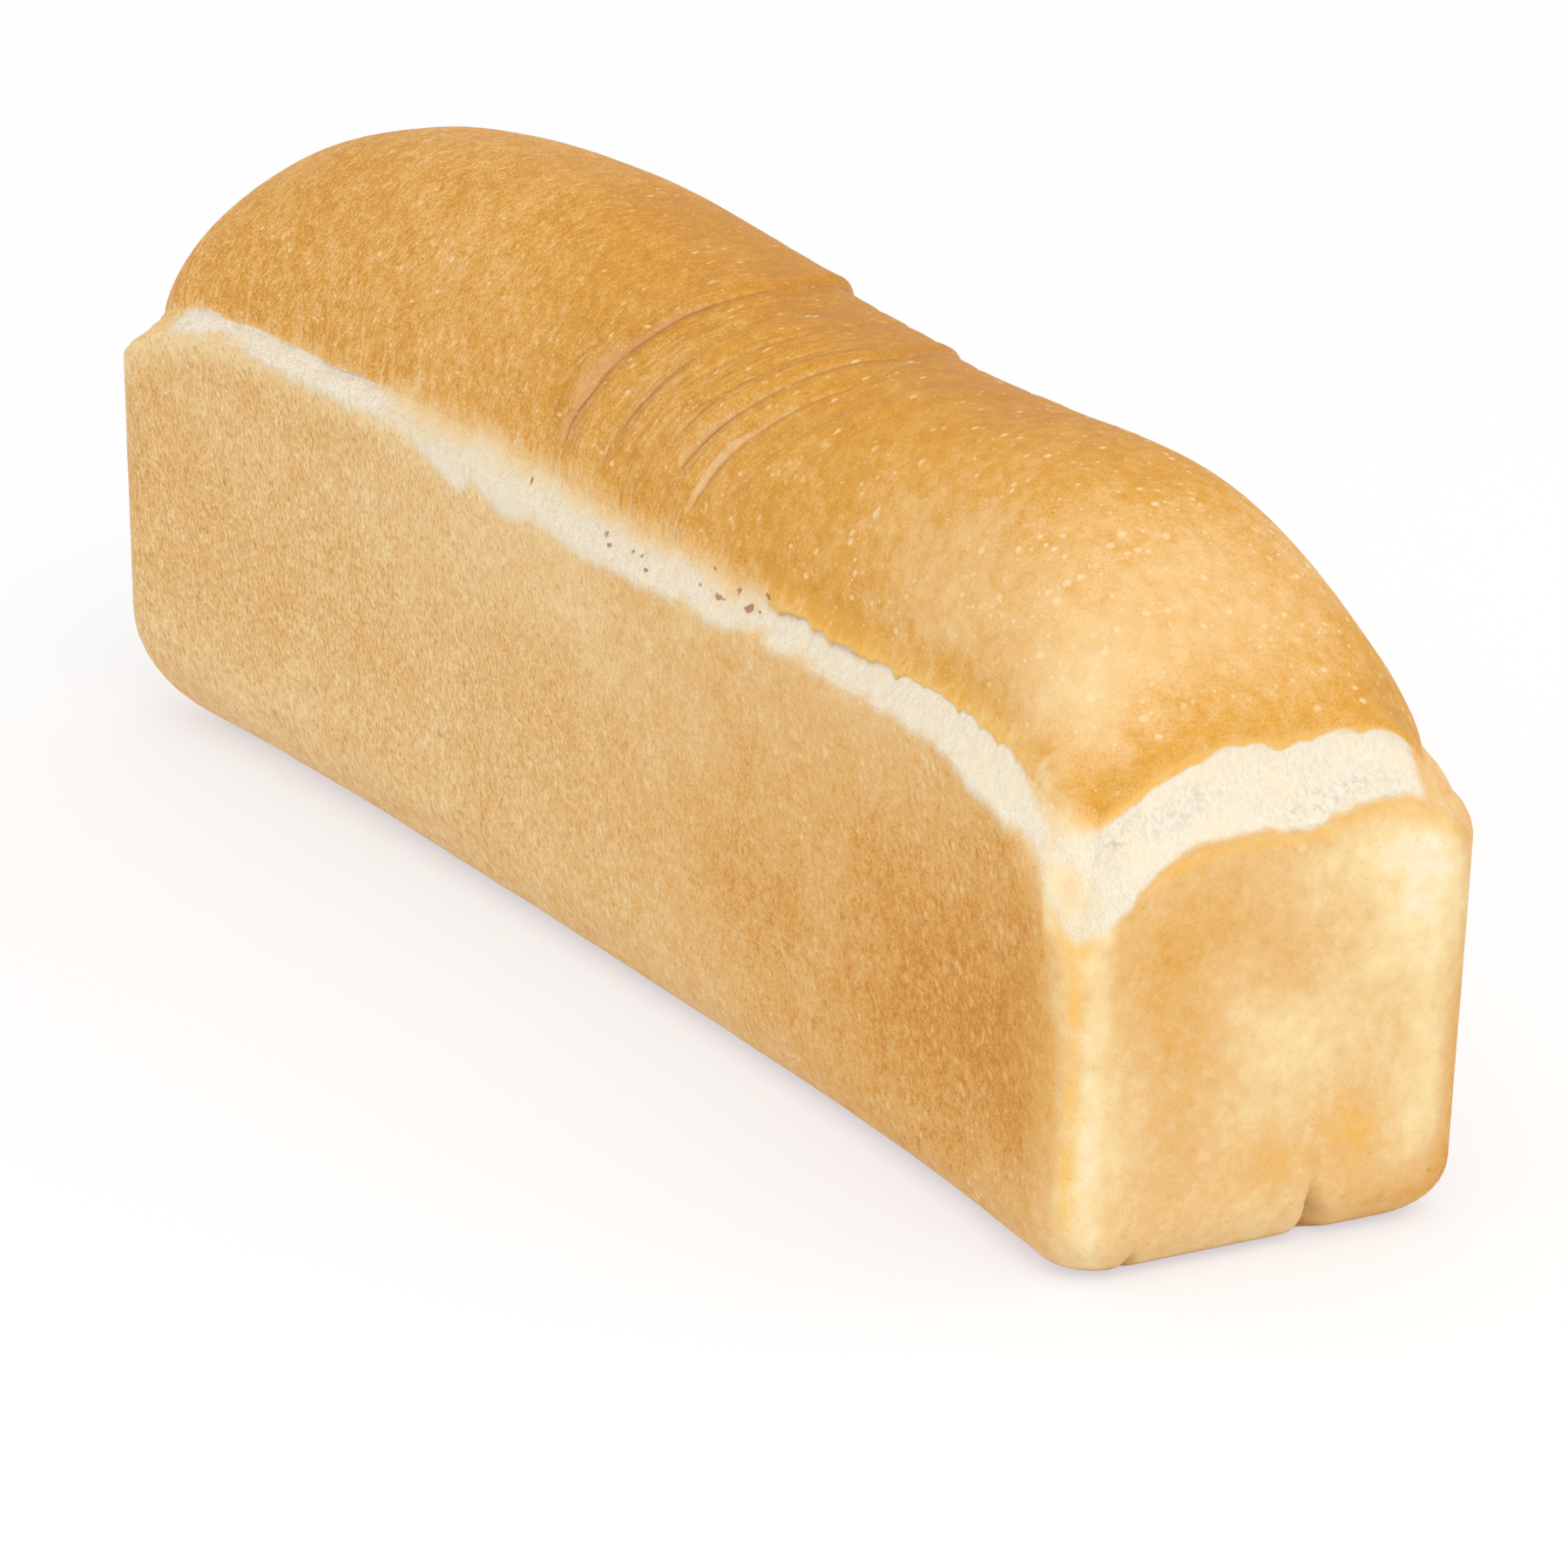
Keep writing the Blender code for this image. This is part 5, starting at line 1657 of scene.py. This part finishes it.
class LOAF_OT_blisters(bpy.types.Operator):
    """Scatter small pale blisters over the domed crust"""

    bl_idname = "loaf.blisters"
    bl_label = "Blisters"

    most: IntProperty(
        name="Most per square metre", description="Density where they are thickest", default=28000, min=0
    )
    seed: IntProperty(name="Seed", description="Which of the many scatters to use", default=3)

    def execute(self, context):
        crust = bpy.data.objects.get("domed_crust")
        if crust is None:
            raise RuntimeError("build the domed crust before its blisters")
        colours = context.scene.tin_loaf_colours
        group = blister_tree(skin_material("pale_blister", colours, BLISTER_BUMP, PALER_PEAKS))
        values = {"Most per square metre": float(self.most), "Seed": self.seed}
        piece = plain_from_nodes(crust, group, "crust_blisters", values)
        if not piece.data.polygons:
            raise RuntimeError("the blister nodes made no faces")
        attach(piece, BODY)
        return {"FINISHED"}


class LOAF_OT_stage(bpy.types.Operator):
    """Set up the pale floor, the soft light and the camera"""

    bl_idname = "loaf.stage"
    bl_label = "Stage"

    def execute(self, context):
        stage = context.scene.tin_loaf_stage
        context.scene.view_settings.view_transform = "Standard"
        make_floor(stage)
        make_lights(context, stage)
        make_camera(context, stage)
        return {"FINISHED"}


def make_floor(stage):
    half = FLOOR_HALF
    mesh = bpy.data.meshes.new("floor")
    corners = [(-half, -half, 0), (half, -half, 0), (half, half, 0), (-half, half, 0)]
    mesh.from_pydata(corners, [], [(0, 1, 2, 3)])
    material = bpy.data.materials.new("pale_floor")
    material.use_nodes = True
    tree = Tree(material.node_tree)
    shader = material.node_tree.nodes["Principled BSDF"]
    tree.put(shader.inputs["Base Color"], tuple(stage.floor_colour))
    tree.put(shader.inputs["Emission Color"], tuple(stage.floor_glow))
    shader.inputs["Emission Strength"].default_value = 1.0
    shader.inputs["Roughness"].default_value = 0.9
    shader.inputs["Specular IOR Level"].default_value = 0.1
    mesh.materials.append(material)
    floor = bpy.data.objects.new("floor", mesh)
    bpy.context.scene.collection.objects.link(floor)


def make_lights(context, stage):
    world = bpy.data.worlds.new("even_light")
    world.use_nodes = True
    background = world.node_tree.nodes["Background"]
    background.inputs["Color"].default_value = (1.0, 1.0, 1.0, 1.0)
    background.inputs["Strength"].default_value = stage.sky
    context.scene.world = world
    for name, place, size, power_share in LIGHTS:
        light = bpy.data.lights.new(name, "AREA")
        light.shape = "SQUARE"
        light.size = size
        light.energy = stage.key * power_share
        lamp = bpy.data.objects.new(name, light)
        context.scene.collection.objects.link(lamp)
        lamp.location = place
        aim = Vector(LIGHT_AIM) - Vector(place)
        lamp.rotation_euler = aim.to_track_quat("-Z", "Y").to_euler()


def make_camera(context, stage):
    a, e, roll = CAMERA_AZIMUTH, CAMERA_ELEVATION, CAMERA_ROLL
    back = Vector((math.sin(a) * math.cos(e), -math.cos(a) * math.cos(e), math.sin(e)))
    level = Vector((math.cos(a), math.sin(a), 0.0))
    upward = back.cross(level)
    right = level * math.cos(roll) + upward * math.sin(roll)
    up = upward * math.cos(roll) - level * math.sin(roll)
    camera = bpy.data.cameras.new("camera")
    camera.lens = stage.lens
    camera.sensor_width = SENSOR_WIDTH
    camera.clip_end = FAR_CLIP
    rig = bpy.data.objects.new("camera", camera)
    context.scene.collection.objects.link(rig)
    turn = Matrix((right, up, back)).transposed().to_4x4()
    rig.matrix_world = Matrix.Translation(CAMERA_TARGET + back * CAMERA_DISTANCE) @ turn
    context.scene.camera = rig


STEPS = ("tin_walls", "torn_band", "domed_crust", "blisters", "stage")


class LOAF_PT_panel(bpy.types.Panel):
    """Buttons and sizes of the tin loaf"""

    bl_idname = "LOAF_PT_panel"
    bl_label = "Tin loaf"
    bl_space_type = "VIEW_3D"
    bl_region_type = "UI"
    bl_category = "Tin loaf"

    def draw(self, context):
        layout = self.layout
        for step in STEPS:
            layout.operator("loaf." + step)
        scene = context.scene
        for group in (scene.tin_loaf_shape, scene.tin_loaf_colours, scene.tin_loaf_stage):
            box = layout.box()
            for name in group.bl_rna.properties.keys():
                if name not in ("rna_type", "name"):
                    box.prop(group, name)


CLASSES = (
    TinLoafShape,
    TinLoafColours,
    TinLoafStage,
    LOAF_OT_tin_walls,
    LOAF_OT_torn_band,
    LOAF_OT_domed_crust,
    LOAF_OT_blisters,
    LOAF_OT_stage,
    LOAF_PT_panel,
)


def register():
    for cls in CLASSES:
        bpy.utils.register_class(cls)
    bpy.types.Scene.tin_loaf_shape = PointerProperty(type=TinLoafShape)
    bpy.types.Scene.tin_loaf_colours = PointerProperty(type=TinLoafColours)
    bpy.types.Scene.tin_loaf_stage = PointerProperty(type=TinLoafStage)


def unregister():
    del bpy.types.Scene.tin_loaf_stage
    del bpy.types.Scene.tin_loaf_colours
    del bpy.types.Scene.tin_loaf_shape
    for cls in reversed(CLASSES):
        bpy.utils.unregister_class(cls)


def main():
    register()
    for step in STEPS:
        getattr(bpy.ops.loaf, step)()


if __name__ == "__main__":
    main()
